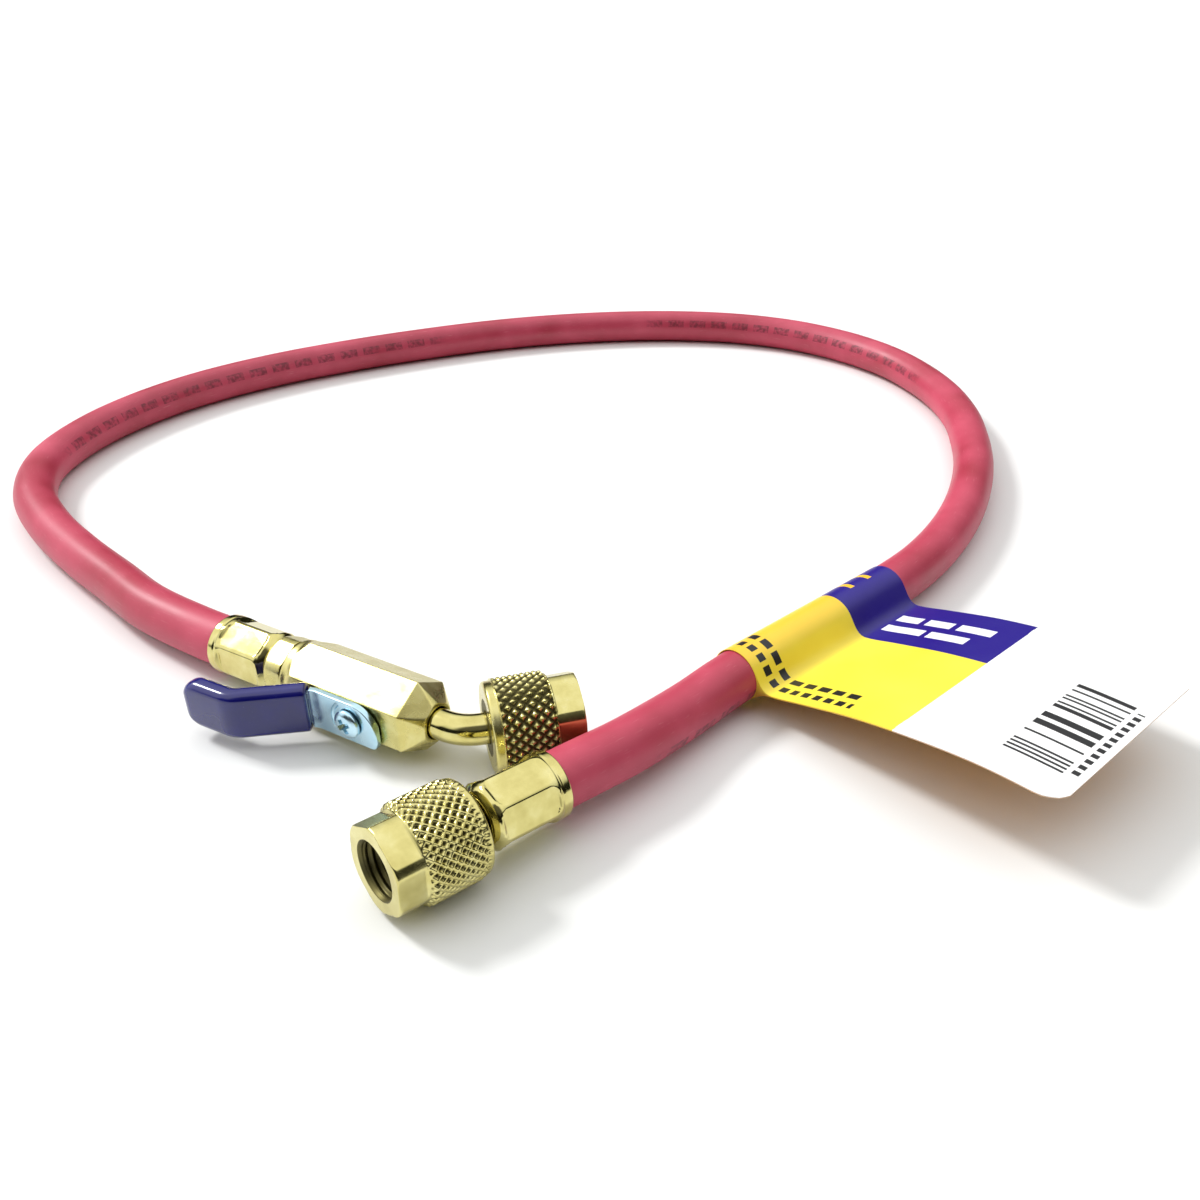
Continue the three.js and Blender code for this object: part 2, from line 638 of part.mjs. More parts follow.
// The hose itself, straight out of each ferrule and then along its route
const straight = straightDiameters * hoseDiameter;
const hosePath = new THREE.CatmullRomCurve3([
  onAxis(front, socketDepth - fit), onAxis(front, 0), onAxis(front, -straight / 2), onAxis(front, -straight),
  ...hoseRoute.map(([x, y, z]) => new THREE.Vector3(x, y, z)),
  onAxis(valve, -straight / 2), onAxis(valve, 0), onAxis(valve, socketDepth - fit),
], false, 'centripetal');
const hoseSteps = Math.round(hosePath.getLength() / (stepDiameters * hoseDiameter));
const hoseOptions = { steps: hoseSteps, extrudePath: hosePath, bevelEnabled: false };
const hose = part('hose', new THREE.ExtrudeGeometry(polygon(hoseRadius, hoseSides), hoseOptions), redRubber);

const chargingHose = new THREE.Group();
chargingHose.add(hose, part('label_tag', filmTag(), printedFilm), front, valve);

export default chargingHose;
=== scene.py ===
# %% [markdown]
# # A refrigerant charging hose
# A stiff rubber hose lies in one open loop. Both of its ends are brass: a crimped ferrule and a knurled
# swivel nut in front, and a small lever valve with a bent tube and a second nut behind it. The frame that
# is loaded first holds every piece at its real size. This script only dresses it: finer meshes over the
# plain solids, and a finish for each of them.

# %% The frame, and the units
import json
import math

import bmesh
import bpy
from mathutils import Matrix, Vector


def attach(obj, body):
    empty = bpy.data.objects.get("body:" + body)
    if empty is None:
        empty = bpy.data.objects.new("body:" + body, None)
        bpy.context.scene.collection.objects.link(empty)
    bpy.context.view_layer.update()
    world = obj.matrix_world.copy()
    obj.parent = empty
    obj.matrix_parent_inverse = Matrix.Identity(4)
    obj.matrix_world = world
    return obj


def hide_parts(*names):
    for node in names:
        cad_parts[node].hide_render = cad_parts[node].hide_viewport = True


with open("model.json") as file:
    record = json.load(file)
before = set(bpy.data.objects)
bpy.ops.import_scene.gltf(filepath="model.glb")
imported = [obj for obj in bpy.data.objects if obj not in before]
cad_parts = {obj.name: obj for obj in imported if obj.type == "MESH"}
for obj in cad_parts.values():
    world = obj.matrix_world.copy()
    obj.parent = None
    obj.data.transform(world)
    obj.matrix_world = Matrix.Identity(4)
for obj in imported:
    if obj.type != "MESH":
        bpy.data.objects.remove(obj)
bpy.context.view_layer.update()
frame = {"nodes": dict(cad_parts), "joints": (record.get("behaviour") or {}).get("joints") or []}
MM = 0.001  # the script's sizes are in millimetres, and Blender's are in metres
scene = bpy.context.scene

# %% [markdown]
# ## The camera
# The photograph looks down on the fittings from a hand's width above the table, so the near nut is large
# and the far side of the loop is small. Only a short lens close to the object gives that. The camera's
# angles were found from the loop, which lies on the floor, and its distance from the nut's real size.

# %% The camera
camera_data = bpy.data.cameras.new("camera")
camera_data.lens = 33.9
camera_data.sensor_width = 36
camera_data.clip_start = 0.01
camera = bpy.data.objects.new("camera", camera_data)
camera.location = Vector((-93.6, -164.7, 145.1)) * MM
camera.rotation_euler = (math.radians(59.09), 0, math.radians(-42.49))
scene.collection.objects.link(camera)
scene.camera = camera
print("camera at", tuple(round(v / MM) for v in camera.location), "mm")

# %% [markdown]
# ## The lines that the fittings lie on
# Each end is a row of pieces on one line, so every piece is drawn along x and then moved to its line. The
# lines come from the frame: a nut spins about its own, and the lever turns about a pin that crosses the
# valve's. So nothing has to be fitted by eye.

# %% The three lines
joints = {joint["name"]: joint for joint in frame["joints"]}


def line_matrix(point, along, left):
    """A matrix that puts local x along a line, local y to its left, and the origin at a point."""
    turn = Matrix((along, left, along.cross(left))).transposed()
    return Matrix.Translation(point) @ turn.to_4x4()


def level_left(along):
    """The level direction to the left of a line."""
    return Vector((-along.y, along.x, 0)).normalized()


FIT = 0.3  # the clearance between neighbours, in millimetres as every size here
FERRULE_LENGTH = 16.5
NUT_LENGTH = 18.3
NECK_STANDOFF = 1.6
NUT_BACK = FERRULE_LENGTH + FIT + NECK_STANDOFF + FIT  # from the hose's end to the back of the front nut
ADAPTER_LENGTH = 5.1
BODY_START = FERRULE_LENGTH + FIT + ADAPTER_LENGTH + FIT
STEM_FROM_BODY = 21.6
STEM_X = BODY_START + STEM_FROM_BODY

front_along = Vector(joints["front_nut_spin"]["axis"]).normalized()
front_nut_middle = Vector(joints["front_nut_spin"]["pos_m"])
FRONT = line_matrix(
    front_nut_middle - front_along * (NUT_BACK + NUT_LENGTH / 2) * MM, front_along, level_left(front_along))

pin_axis = Vector(joints["lever_turn"]["axis"]).normalized()
nut_along = Vector(joints["bent_nut_spin"]["axis"]).normalized()
valve_along = (nut_along - nut_along.dot(pin_axis) * pin_axis).normalized()
BEND = math.asin(nut_along.dot(pin_axis))
VALVE = line_matrix(
    Vector(joints["lever_turn"]["pos_m"]) - valve_along * STEM_X * MM, valve_along, pin_axis)
bent_nut_middle = Vector(joints["bent_nut_spin"]["pos_m"])
bend_axis = valve_along.cross(pin_axis)
BENT = line_matrix(bent_nut_middle - nut_along * NUT_LENGTH / 2 * MM, nut_along, bend_axis.cross(nut_along))
print("the tube bends by", round(math.degrees(BEND), 1), "degrees")

# %% [markdown]
# ## The hose
# The hose is extruded rubber over a braid, 11.5 mm across and far too stiff to hang or kink. Its line is
# one smooth curve through listed points. A curve object with a bevel would draw it in one step, but
# the print along it needs to know how far along the hose each point is. So the tube is made ring by ring
# and gets a UV map: u goes round it once, and v is the distance along it in metres.

# %% The hose's line
HOSE_DIAMETER = 11.5
SOCKET_DEPTH = 2.6
STRAIGHT = 1.5 * HOSE_DIAMETER  # how far the hose runs straight on from each fitting
HOSE_STEP = 2.0
CURVE_STEPS = 40  # fine steps between two given points, before they are evened out
HOSE_ROUTE = [
    (46.1, -38.5, 6.6), (59.1, -37.5, 6.7), (71.1, -37.18, 6.85), (87.1, -37.18, 6.85),
    (103.1, -37.18, 6.85), (117.1, -37.18, 6.85), (135.1, -35.03, 6), (153.1, -31.03, 5.75),
    (170.1, -25.33, 5.75), (186.1, -18.03, 5.75), (201.1, -9.53, 5.75), (215.1, 0.47, 5.75),
    (229.1, 12.27, 5.75), (242.1, 27.27, 5.75), (252.1, 44.27, 5.75), (258.6, 62.27, 5.75),
    (260.6, 83.27, 5.75), (257.1, 105.27, 5.75), (248.1, 124.87, 5.75), (234.6, 142.27, 5.75),
    (216.1, 158.87, 5.75), (195.1, 172.87, 5.75), (171.1, 184.87, 5.75), (143.1, 194.87, 5.75),
    (115.1, 202.17, 5.75), (86.1, 206.87, 5.75), (57.1, 206.87, 5.75), (32.1, 201.27, 5.75),
    (11.1, 191.17, 5.75), (-5.9, 176.27, 5.75), (-15.7, 157.27, 5.75), (-19.3, 135.27, 5.75),
    (-19.5, 113.27, 5.75), (-18.5, 93.27, 6), (-17.8, 75.27, 6.5),
]


def on_line(line, x):
    """A point on one of the three lines, in metres."""
    return line @ Vector((x * MM, 0, 0))


def smooth_line(points, step):
    """Points a fixed step apart on the centripetal curve that passes through the given points."""
    ends = [points[0] * 2 - points[1], *points, points[-1] * 2 - points[-2]]
    fine = []
    for p0, p1, p2, p3 in zip(ends, ends[1:], ends[2:], ends[3:]):
        t1 = (p1 - p0).length ** 0.5
        t2 = t1 + (p2 - p1).length ** 0.5
        t3 = t2 + (p3 - p2).length ** 0.5
        for i in range(CURVE_STEPS):
            t = t1 + (t2 - t1) * i / CURVE_STEPS
            a1 = p0 * (t1 - t) / t1 + p1 * t / t1
            a2 = p1 * (t2 - t) / (t2 - t1) + p2 * (t - t1) / (t2 - t1)
            a3 = p2 * (t3 - t) / (t3 - t2) + p3 * (t - t2) / (t3 - t2)
            b1 = a1 * (t2 - t) / t2 + a2 * t / t2
            b2 = a2 * (t3 - t) / (t3 - t1) + a3 * (t - t1) / (t3 - t1)
            fine.append(b1 * (t2 - t) / (t2 - t1) + b2 * (t - t1) / (t2 - t1))
    fine.append(points[-1].copy())
    gaps = [(b - a).length for a, b in zip(fine, fine[1:])]
    length = sum(gaps)
    count = max(2, round(length / step))
    even = [fine[0]]
    passed = 0.0
    for start, end, gap in zip(fine, fine[1:], gaps):
        while len(even) < count and passed + gap >= length * len(even) / count:
            even.append(start.lerp(end, (length * len(even) / count - passed) / gap))
        passed += gap
    even.append(fine[-1])
    return even, length


hose_line, hose_length = smooth_line([
    on_line(FRONT, SOCKET_DEPTH - FIT), on_line(FRONT, 0), on_line(FRONT, -STRAIGHT / 2),
    on_line(FRONT, -STRAIGHT), *[Vector(point) * MM for point in HOSE_ROUTE],
    on_line(VALVE, -STRAIGHT / 2), on_line(VALVE, 0), on_line(VALVE, SOCKET_DEPTH - FIT),
], HOSE_STEP * MM)
print("hose line:", round(hose_length / MM, 1), "mm, in", len(hose_line), "points")


# %% The hose's tube
def new_piece(name, mesh, smooth_angle=30):
    """An object at the origin, with round faces smooth and edges past an angle sharp."""
    mesh.shade_smooth()
    mesh.set_sharp_from_angle(angle=math.radians(smooth_angle))
    piece = bpy.data.objects.new(name, mesh)
    scene.collection.objects.link(piece)
    return piece


def ring_tube(name, line, radius, sides):
    """A tube with closed ends along a line, and a UV map of the turn round it and the distance along it."""
    made = bmesh.new()
    uv = made.loops.layers.uv.new("UVMap")
    world_up = Vector((0, 0, 1))
    rings, lengths = [], [0.0]
    for i, point in enumerate(line):
        ahead = (line[min(i + 1, len(line) - 1)] - line[max(i - 1, 0)]).normalized()
        up = (world_up - ahead * world_up.dot(ahead)).normalized()
        left = up.cross(ahead)
        rings.append([
            made.verts.new(point + radius * (
                math.cos(math.tau * k / sides) * left + math.sin(math.tau * k / sides) * up))
            for k in range(sides)])
        if i > 0:
            lengths.append(lengths[-1] + (point - line[i - 1]).length)
    for i in range(len(line) - 1):
        for k in range(sides):
            corners = [(i, k), (i, k + 1), (i + 1, k + 1), (i + 1, k)]
            face = made.faces.new([rings[row][turn % sides] for row, turn in corners])
            for loop, (row, turn) in zip(face.loops, corners):
                loop[uv].uv = (turn / sides, lengths[row])
    made.faces.new(rings[0])
    made.faces.new(rings[-1])
    bmesh.ops.recalc_face_normals(made, faces=made.faces)
    mesh = bpy.data.meshes.new(name)
    made.to_mesh(mesh)
    made.free()
    return new_piece(name, mesh)


HOSE_SIDES = 64
hose = ring_tube("rubber_hose", hose_line, HOSE_DIAMETER / 2 * MM, HOSE_SIDES)
print("hose:", len(hose.data.polygons), "faces")

# %% [markdown]
# ## Helpers for node trees
# Every finish and every repeating pattern below is a node tree. One small function adds a node, sets it up
# and links it, so that a tree reads from its first line to its last as a list of steps. Colours are written
# as sRGB hex values, as a paint chart or an image editor gives them, and one function makes them linear.

# %% Colours and nodes
def srgb(code):
    """The linear colour of an sRGB hex value."""
    channels = [int(code[i:i + 2], 16) / 255 for i in (0, 2, 4)]
    return tuple(c / 12.92 if c <= 0.04045 else ((c + 0.055) / 1.055) ** 2.4 for c in channels) + (1.0,)


def add(tree, kind, inputs=(), stops=(), **settings):
    """Adds a node to a tree, sets it up and links it.

    Its inputs are values, sockets or other nodes, by name or in order. A node stands for its first output
    that is in use. The stops of a colour ramp are places from 0 to 1, each with a colour.
    """
    made = tree.nodes.new(kind)
    for name, value in settings.items():
        setattr(made, name, value)
    for key, value in inputs.items() if isinstance(inputs, dict) else enumerate(inputs):
        if isinstance(value, bpy.types.Node):
            value = next(output for output in value.outputs if output.enabled)
        if isinstance(value, bpy.types.NodeSocket):
            tree.links.new(value, made.inputs[key])
        else:
            made.inputs[key].default_value = value
    for i, (place, colour) in enumerate(stops):
        if 0 < i < len(stops) - 1:
            made.color_ramp.elements.new(place)
        made.color_ramp.elements[i].position = place
        made.color_ramp.elements[i].color = colour
    return made


def inside_run(tree, value, low, high, fade):
    """1 between low and high, falling to 0 over the fade outside them."""
    rise = add(tree, "ShaderNodeMath", [
        add(tree, "ShaderNodeMath", [value, low], operation="SUBTRACT"), fade], operation="DIVIDE")
    fall = add(tree, "ShaderNodeMath", [
        add(tree, "ShaderNodeMath", [high, value], operation="SUBTRACT"), fade], operation="DIVIDE")
    return add(tree, "ShaderNodeClamp", [add(tree, "ShaderNodeMath", [rise, fall], operation="MINIMUM")])


def new_material(name):
    """An empty material, its tree and its output node."""
    material = bpy.data.materials.new(name)
    material.use_nodes = True
    material.node_tree.nodes.clear()
    return material, material.node_tree, material.node_tree.nodes.new("ShaderNodeOutputMaterial")


# %% [markdown]
# ## The light and the floor
# Polished brass has hardly any colour of its own: it shows the room. The photograph was lit by a broad
# white sheet overhead, with the dark room around it, and that gives the metal its white planes with dark
# lines between them. The same room is painted on the world by the height of each direction: a white
# ceiling, a dark belt above the table, a window to the back left, and a dark place in front, as if someone
# stood there. A soft sun draws the shadows. The floor is a plain pale sheet, far larger than the object.

# %% The studio
def studio_world():
    """The painted room: a colour for each height, with a window and a dark place mixed in."""
    world = bpy.data.worlds.new("studio")
    scene.world = world
    world.use_nodes = True
    tree = world.node_tree
    tree.nodes.clear()
    direction = add(tree, "ShaderNodeTexCoord").outputs["Generated"]
    height = add(tree, "ShaderNodeSeparateXYZ", [direction]).outputs["Z"]
    ceiling = add(tree, "ShaderNodeValToRGB", [height], [
        (0.0, srgb("9A9C96")), (0.03, srgb("4C4E48")), (0.09, srgb("141612")), (0.38, srgb("20221C")),
        (0.5, srgb("D0D2CC")), (0.7, srgb("FFFFFF")), (1.0, srgb("FFFFFF"))])
    window_way = Vector((-0.62, 0.62, 0.48)).normalized()
    towards = add(tree, "ShaderNodeVectorMath", [direction, window_way], operation="DOT_PRODUCT")
    window = add(tree, "ShaderNodeMapRange", {
        "Value": towards.outputs["Value"], "From Min": 0.86, "From Max": 0.93, "To Min": 0.0,
        "To Max": 1.0}, interpolation_type="SMOOTHSTEP")
    room = add(tree, "ShaderNodeMix", {
        "Factor": window, "A": ceiling, "B": srgb("FFFFFF")}, data_type="RGBA")
    dark_way = Vector((-0.52, -0.74, 0.42)).normalized()
    facing = add(tree, "ShaderNodeVectorMath", [direction, dark_way], operation="DOT_PRODUCT")
    dark = add(tree, "ShaderNodeMapRange", {
        "Value": facing.outputs["Value"], "From Min": 0.72, "From Max": 0.86, "To Min": 0.0,
        "To Max": 0.9}, interpolation_type="SMOOTHSTEP")
    room = add(tree, "ShaderNodeMix", {"Factor": dark, "A": room, "B": srgb("1A1814")}, data_type="RGBA")
    background = add(tree, "ShaderNodeBackground", {"Color": room, "Strength": 1.3})
    output = add(tree, "ShaderNodeOutputWorld")
    tree.links.new(background.outputs[0], output.inputs["Surface"])


def soft_sun():
    """One broad sun. It is wide for a sun, so its shadows have soft edges."""
    data = bpy.data.lights.new("soft_sun", "SUN")
    data.energy = 2.0
    data.angle = math.radians(13)
    sun = bpy.data.objects.new("soft_sun", data)
    sun.rotation_euler = (math.radians(47), 0, math.radians(197))
    scene.collection.objects.link(sun)


def floor_sheet():
    """The pale sheet that the object lies on. It belongs to the stage, not to the object."""
    material, tree, output = new_material("pale_floor_card")
    shader = add(tree, "ShaderNodeBsdfPrincipled", {
        "Base Color": srgb("F2F3F2"), "Roughness": 0.6, "Specular IOR Level": 0.25})
    tree.links.new(shader.outputs[0], output.inputs["Surface"])
    mesh = bpy.data.meshes.new("floor")
    reach = 8.0  # in metres
    corners = [(-reach, -reach, 0), (reach, -reach, 0), (reach, reach, 0), (-reach, reach, 0)]
    mesh.from_pydata(corners, [], [(0, 1, 2, 3)])
    mesh.materials.append(material)
    floor = bpy.data.objects.new("floor", mesh)
    scene.collection.objects.link(floor)


studio_world()
soft_sun()
floor_sheet()
scene.view_settings.view_transform = "Standard"
scene.view_settings.look = "None"
print("light: a painted room, and one soft sun")

# %% [markdown]
# ## The rubber's finish
# The cover is nitrile rubber, pressed smooth by the extruder and then dulled by handling. That gives the eye
# a broad soft highlight and no mirror, a faint cloudy mottle, and painted sheen in fine pale streaks along the
# hose.
# Print that is nearly rubbed off lies along it too, and here it is only smudged dark dashes. All of it is
# driven by the hose's UV map, so the marks follow the bends.

# %% Red rubber
DASH_LENGTH, DASH_GAP = 6.5, 2.4
PRINT_WIDTH = 0.075  # as a share of the way round the hose
PRINT_RUNS = [(0.07, 265, 400), (0.07, 480, 645), (0.55, 22, 96)]  # turn, and from and to along the hose


def red_rubber():
    """Smooth red rubber, a little cloudy, with painted sheen in pale streaks and print that is nearly rubbed
    off.
    """
    material, tree, output = new_material("red_nitrile_rubber")
    place = add(tree, "ShaderNodeUVMap", uv_map="UVMap").outputs["UV"]
    parts = add(tree, "ShaderNodeSeparateXYZ", [place])
    turn, along = parts.outputs["X"], parts.outputs["Y"]
    round_it = add(tree, "ShaderNodeMath", [turn, HOSE_DIAMETER * math.pi * MM], operation="MULTIPLY")
    flat = add(tree, "ShaderNodeCombineXYZ", {"X": round_it, "Y": along})
    body = add(tree, "ShaderNodeTexCoord").outputs["Object"]
    mottle = add(tree, "ShaderNodeTexNoise", {"Vector": body, "Scale": 55.0, "Detail": 4.0})
    colour = add(tree, "ShaderNodeValToRGB", [mottle], [
        (0.3, srgb("AE3448")), (0.55, srgb("C0425A")), (0.75, srgb("CE5068"))])
    # Painted sheen: fine pale streaks along the hose, mixed into its colour, stand in for glossy highlights.
    sheen_streak_place = add(tree, "ShaderNodeMapping", {"Vector": flat, "Scale": (2600.0, 220.0, 1.0)})
    sheen_streaks = add(tree, "ShaderNodeTexNoise", {"Vector": sheen_streak_place, "Scale": 1.0, "Detail": 3.0})
    painted_sheen = add(tree, "ShaderNodeMapRange", {
        "Value": sheen_streaks, "From Min": 0.62, "From Max": 0.78, "To Min": 0.0, "To Max": 0.22})
    lightened = add(tree, "ShaderNodeMix", {
        "Factor": painted_sheen, "A": colour, "B": srgb("E9A2AC")}, data_type="RGBA")
    marks = None
    for print_turn, start, end in PRINT_RUNS:
        off = add(tree, "ShaderNodeMath", [
            add(tree, "ShaderNodeMath", [turn, print_turn], operation="SUBTRACT")], operation="ABSOLUTE")
        row = add(tree, "ShaderNodeMath", [off, PRINT_WIDTH / 2], operation="LESS_THAN")
        row = add(tree, "ShaderNodeMath", [
            row, inside_run(tree, along, start * MM, end * MM, 8 * MM)], operation="MULTIPLY")
        marks = row if marks is None else add(tree, "ShaderNodeMath", [marks, row], operation="MAXIMUM")
    beat = add(tree, "ShaderNodeMath", [along, (DASH_LENGTH + DASH_GAP) * MM], operation="MODULO")
    marks = add(tree, "ShaderNodeMath", [
        marks,
        add(tree, "ShaderNodeMath", [beat, DASH_LENGTH * MM], operation="LESS_THAN")], operation="MULTIPLY")
    rubbed = add(tree, "ShaderNodeTexNoise", {"Vector": flat, "Scale": 700.0, "Detail": 5.0})
    left = add(tree, "ShaderNodeMapRange", {
        "Value": rubbed, "From Min": 0.4, "From Max": 0.6, "To Min": 0.1, "To Max": 0.72})
    marks = add(tree, "ShaderNodeMath", [marks, left], operation="MULTIPLY")
    printed = add(tree, "ShaderNodeMix", {
        "Factor": marks, "A": lightened, "B": srgb("5A2430")}, data_type="RGBA")
    rough = add(tree, "ShaderNodeMapRange", {
        "Value": mottle, "From Min": 0.3, "From Max": 0.7, "To Min": 0.36, "To Max": 0.52})
    grain = add(tree, "ShaderNodeTexNoise", {"Vector": body, "Scale": 1600.0, "Detail": 2.0})
    bump = add(tree, "ShaderNodeBump", {"Height": grain, "Strength": 0.12, "Distance": 0.05 * MM})
    shader = add(tree, "ShaderNodeBsdfPrincipled", {
        "Base Color": printed, "Roughness": rough, "Normal": bump, "IOR": 1.52, "Specular IOR Level": 0.45})
    tree.links.new(shader.outputs[0], output.inputs["Surface"])
    return material


hose.data.materials.append(red_rubber())
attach(hose, "root")
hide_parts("hose")
print("red rubber on:", hose.name)

# %% [markdown]
# ## Turned pieces, as blanks
# Nuts, ferrules, the valve's body and the seals all leave a lathe as round blanks. A blank here is a closed
# outline of corners, swept once round the x axis. Each corner has a small rounding, because an edge with no
# rounding catches no light, and each run is cut into short steps, so that later tools have points to move.
# Every point also remembers its place on the lathe in an attribute, and the finishes read that.

# %% Blanks from a lathe
def outline(corners):
    """A closed outline from (x, radius, rounding, step) corners, each run cut into its own steps."""
    arcs = []
    for i, (x, radius, rounding, _) in enumerate(corners):
        here = Vector((x, radius))
        back = Vector(corners[i - 1][:2]) - here
        ahead = Vector(corners[(i + 1) % len(corners)][:2]) - here
        reach = min(rounding, back.length * 0.45, ahead.length * 0.45)
        start, end = here + back.normalized() * reach, here + ahead.normalized() * reach
        shares = (0, 0.25, 0.5, 0.75, 1) if reach > 0 else (0,)
        arcs.append([start.lerp(here, t).lerp(here.lerp(end, t), t) for t in shares])
    points = []
    for i, arc in enumerate(arcs):
        onward = arcs[(i + 1) % len(arcs)][0]
        pieces = max(1, math.ceil((onward - arc[-1]).length / corners[i][3]))
        points += arc + [arc[-1].lerp(onward, k / pieces) for k in range(1, pieces)]
    return points


def face_outward(mesh):
    """Points all the faces of a closed mesh outwards."""
    made = bmesh.new()
    made.from_mesh(mesh)
    bmesh.ops.recalc_face_normals(made, faces=made.faces)
    made.to_mesh(mesh)
    made.free()


def straight_way(x):
    """The centre and the two side directions of a straight piece at x, in millimetres."""
    return Vector((x, 0, 0)), Vector((0, 1, 0)), Vector((0, 0, 1))


def turned(name, corners, columns, way=straight_way):
    """A closed piece swept round a way from an outline, in its own frame and in metres."""
    rings = outline(corners)
    places, remembered = [], []
    for x, radius in rings:
        centre, left, up = way(x)
        for k in range(columns):
            angle = math.tau * k / columns
            across, high = radius * math.cos(angle), radius * math.sin(angle)
            places.append((centre + across * left + high * up) * MM)
            remembered += [x * MM, across * MM, high * MM]
    faces = []
    for i in range(len(rings)):
        n = (i + 1) % len(rings)
        for k in range(columns):
            m = (k + 1) % columns
            faces.append((i * columns + k, n * columns + k, n * columns + m, i * columns + m))
    mesh = bpy.data.meshes.new(name)
    mesh.from_pydata(places, [], faces)
    mesh.attributes.new("lathe", "FLOAT_VECTOR", "POINT").data.foreach_set("vector", remembered)
    face_outward(mesh)
    mesh.shade_smooth()
    piece = bpy.data.objects.new(name, mesh)
    scene.collection.objects.link(piece)
    return piece


def settle(piece, line, body, node, material=None):
    """Moves a finished mesh to its line, gives it a finish if one is given, parents it to the body it rides
    on, and hides the plain solid that it stands for.
    """
    piece.data.transform(line)
    if material:
        piece.data.materials.clear()
        piece.data.materials.append(material)
    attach(piece, body)
    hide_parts(node)
    print(piece.name, len(piece.data.polygons), "faces")


# %% [markdown]
# ## Tools for the blanks
# Knurls, wrench flats, threads and crimps all follow a rule, so each is a Geometry Nodes tree that moves the
# blank's points in or out. The trees have named inputs for their sizes. The result is turned into a plain
# mesh and the modifier is taken off, because the piece has to leave this file as real geometry.

# %% Trees that shape a blank
def start_tree(name, sizes):
    """A tree with a blank, named sizes and a finish as inputs. Returns it with the parts each tool needs."""
    tree = bpy.data.node_groups.new(name, "GeometryNodeTree")
    tree.interface.new_socket(name="Blank", in_out="INPUT", socket_type="NodeSocketGeometry")
    for size in sizes:
        tree.interface.new_socket(name=size, in_out="INPUT", socket_type="NodeSocketFloat")
    tree.interface.new_socket(name="Finish", in_out="INPUT", socket_type="NodeSocketMaterial")
    tree.interface.new_socket(name="Shaped", in_out="OUTPUT", socket_type="NodeSocketGeometry")
    given = tree.nodes.new("NodeGroupInput").outputs
    place = add(tree, "GeometryNodeInputPosition")
    parts = add(tree, "ShaderNodeSeparateXYZ", [place]).outputs
    flat = add(tree, "ShaderNodeCombineXYZ", {"Y": parts["Y"], "Z": parts["Z"]})
    radius = add(tree, "ShaderNodeVectorMath", [flat], operation="LENGTH").outputs["Value"]
    angle = add(tree, "ShaderNodeMath", [parts["Z"], parts["Y"]], operation="ARCTAN2")
    return tree, given, parts, radius, angle


def end_tree(tree, given, parts, radius, new_radius, groove=None):
    """Moves each point to its new radius, keeps the groove's depth for the finish, and ends the tree."""
    share = add(tree, "ShaderNodeMath", [new_radius, radius], operation="DIVIDE")
    moved = add(tree, "ShaderNodeCombineXYZ", {
        "X": parts["X"], "Y": add(tree, "ShaderNodeMath", [parts["Y"], share], operation="MULTIPLY"),
        "Z": add(tree, "ShaderNodeMath", [parts["Z"], share], operation="MULTIPLY")})
    shape = add(tree, "GeometryNodeSetPosition", {"Geometry": given["Blank"], "Position": moved})
    if groove is not None:
        shape = add(tree, "GeometryNodeStoreNamedAttribute", {
            "Geometry": shape, "Name": "groove", "Value": groove}, data_type="FLOAT", domain="POINT")
    real = add(tree, "GeometryNodeRealizeInstances", [shape])
    dressed = add(tree, "GeometryNodeSetMaterial", {"Geometry": real, "Material": given["Finish"]})
    output = tree.nodes.new("NodeGroupOutput")
    tree.links.new(dressed.outputs[0], output.inputs["Shaped"])


RIDGE_TOP, RIDGE_BLEND = 0.88, 0.12  # the height where ridges are flat, and how softly they get there
ZERO_HEIGHT = 0.85  # the height that stays at the blank's radius


def knurl_tree():
    """Two families of helical grooves. Raised 1 leaves pyramids between them, and 0 leaves crossed ridges."""
    tree, given, parts, radius, angle = start_tree("knurl", [
        "Teeth", "Lead", "Depth", "Start", "End", "Fade", "Over Radius", "Raised"])
    round_it = add(tree, "ShaderNodeMath", [
        add(tree, "ShaderNodeMath", [angle, math.tau], operation="DIVIDE"),
        given["Teeth"]], operation="MULTIPLY")
    along = add(tree, "ShaderNodeMath", [parts["X"], given["Lead"]], operation="DIVIDE")
    waves = []
    for way in ("ADD", "SUBTRACT"):
        phase = add(tree, "ShaderNodeMath", [
            add(tree, "ShaderNodeMath", [round_it, along], operation=way), 0.5], operation="PINGPONG")
        waves.append(add(tree, "ShaderNodeMath", [phase, 2.0], operation="MULTIPLY"))
    ridges = add(tree, "ShaderNodeMath", [waves[0], waves[1], 0.15], operation="SMOOTH_MAX")
    pyramids = add(tree, "ShaderNodeMath", [waves[0], waves[1], 0.25], operation="SMOOTH_MIN")
    height = add(tree, "ShaderNodeMix", {"Factor": given["Raised"], "A": ridges, "B": pyramids})
    height = add(tree, "ShaderNodeMath", [height, RIDGE_TOP, RIDGE_BLEND], operation="SMOOTH_MIN")
    deep = add(tree, "ShaderNodeMath", [ZERO_HEIGHT, height], operation="SUBTRACT")
    zone = inside_run(tree, parts["X"], given["Start"], given["End"], given["Fade"])
    outside = add(tree, "ShaderNodeMath", [radius, given["Over Radius"]], operation="GREATER_THAN")
    cut = add(tree, "ShaderNodeMath", [
        add(tree, "ShaderNodeMath", [deep, zone], operation="MULTIPLY"), outside], operation="MULTIPLY")
    cut = add(tree, "ShaderNodeMath", [cut, 0.0], operation="MAXIMUM")
    new_radius = add(tree, "ShaderNodeMath", [
        radius,
        add(tree, "ShaderNodeMath", [cut, given["Depth"]], operation="MULTIPLY")], operation="SUBTRACT")
    end_tree(tree, given, parts, radius, new_radius, cut)
    return tree


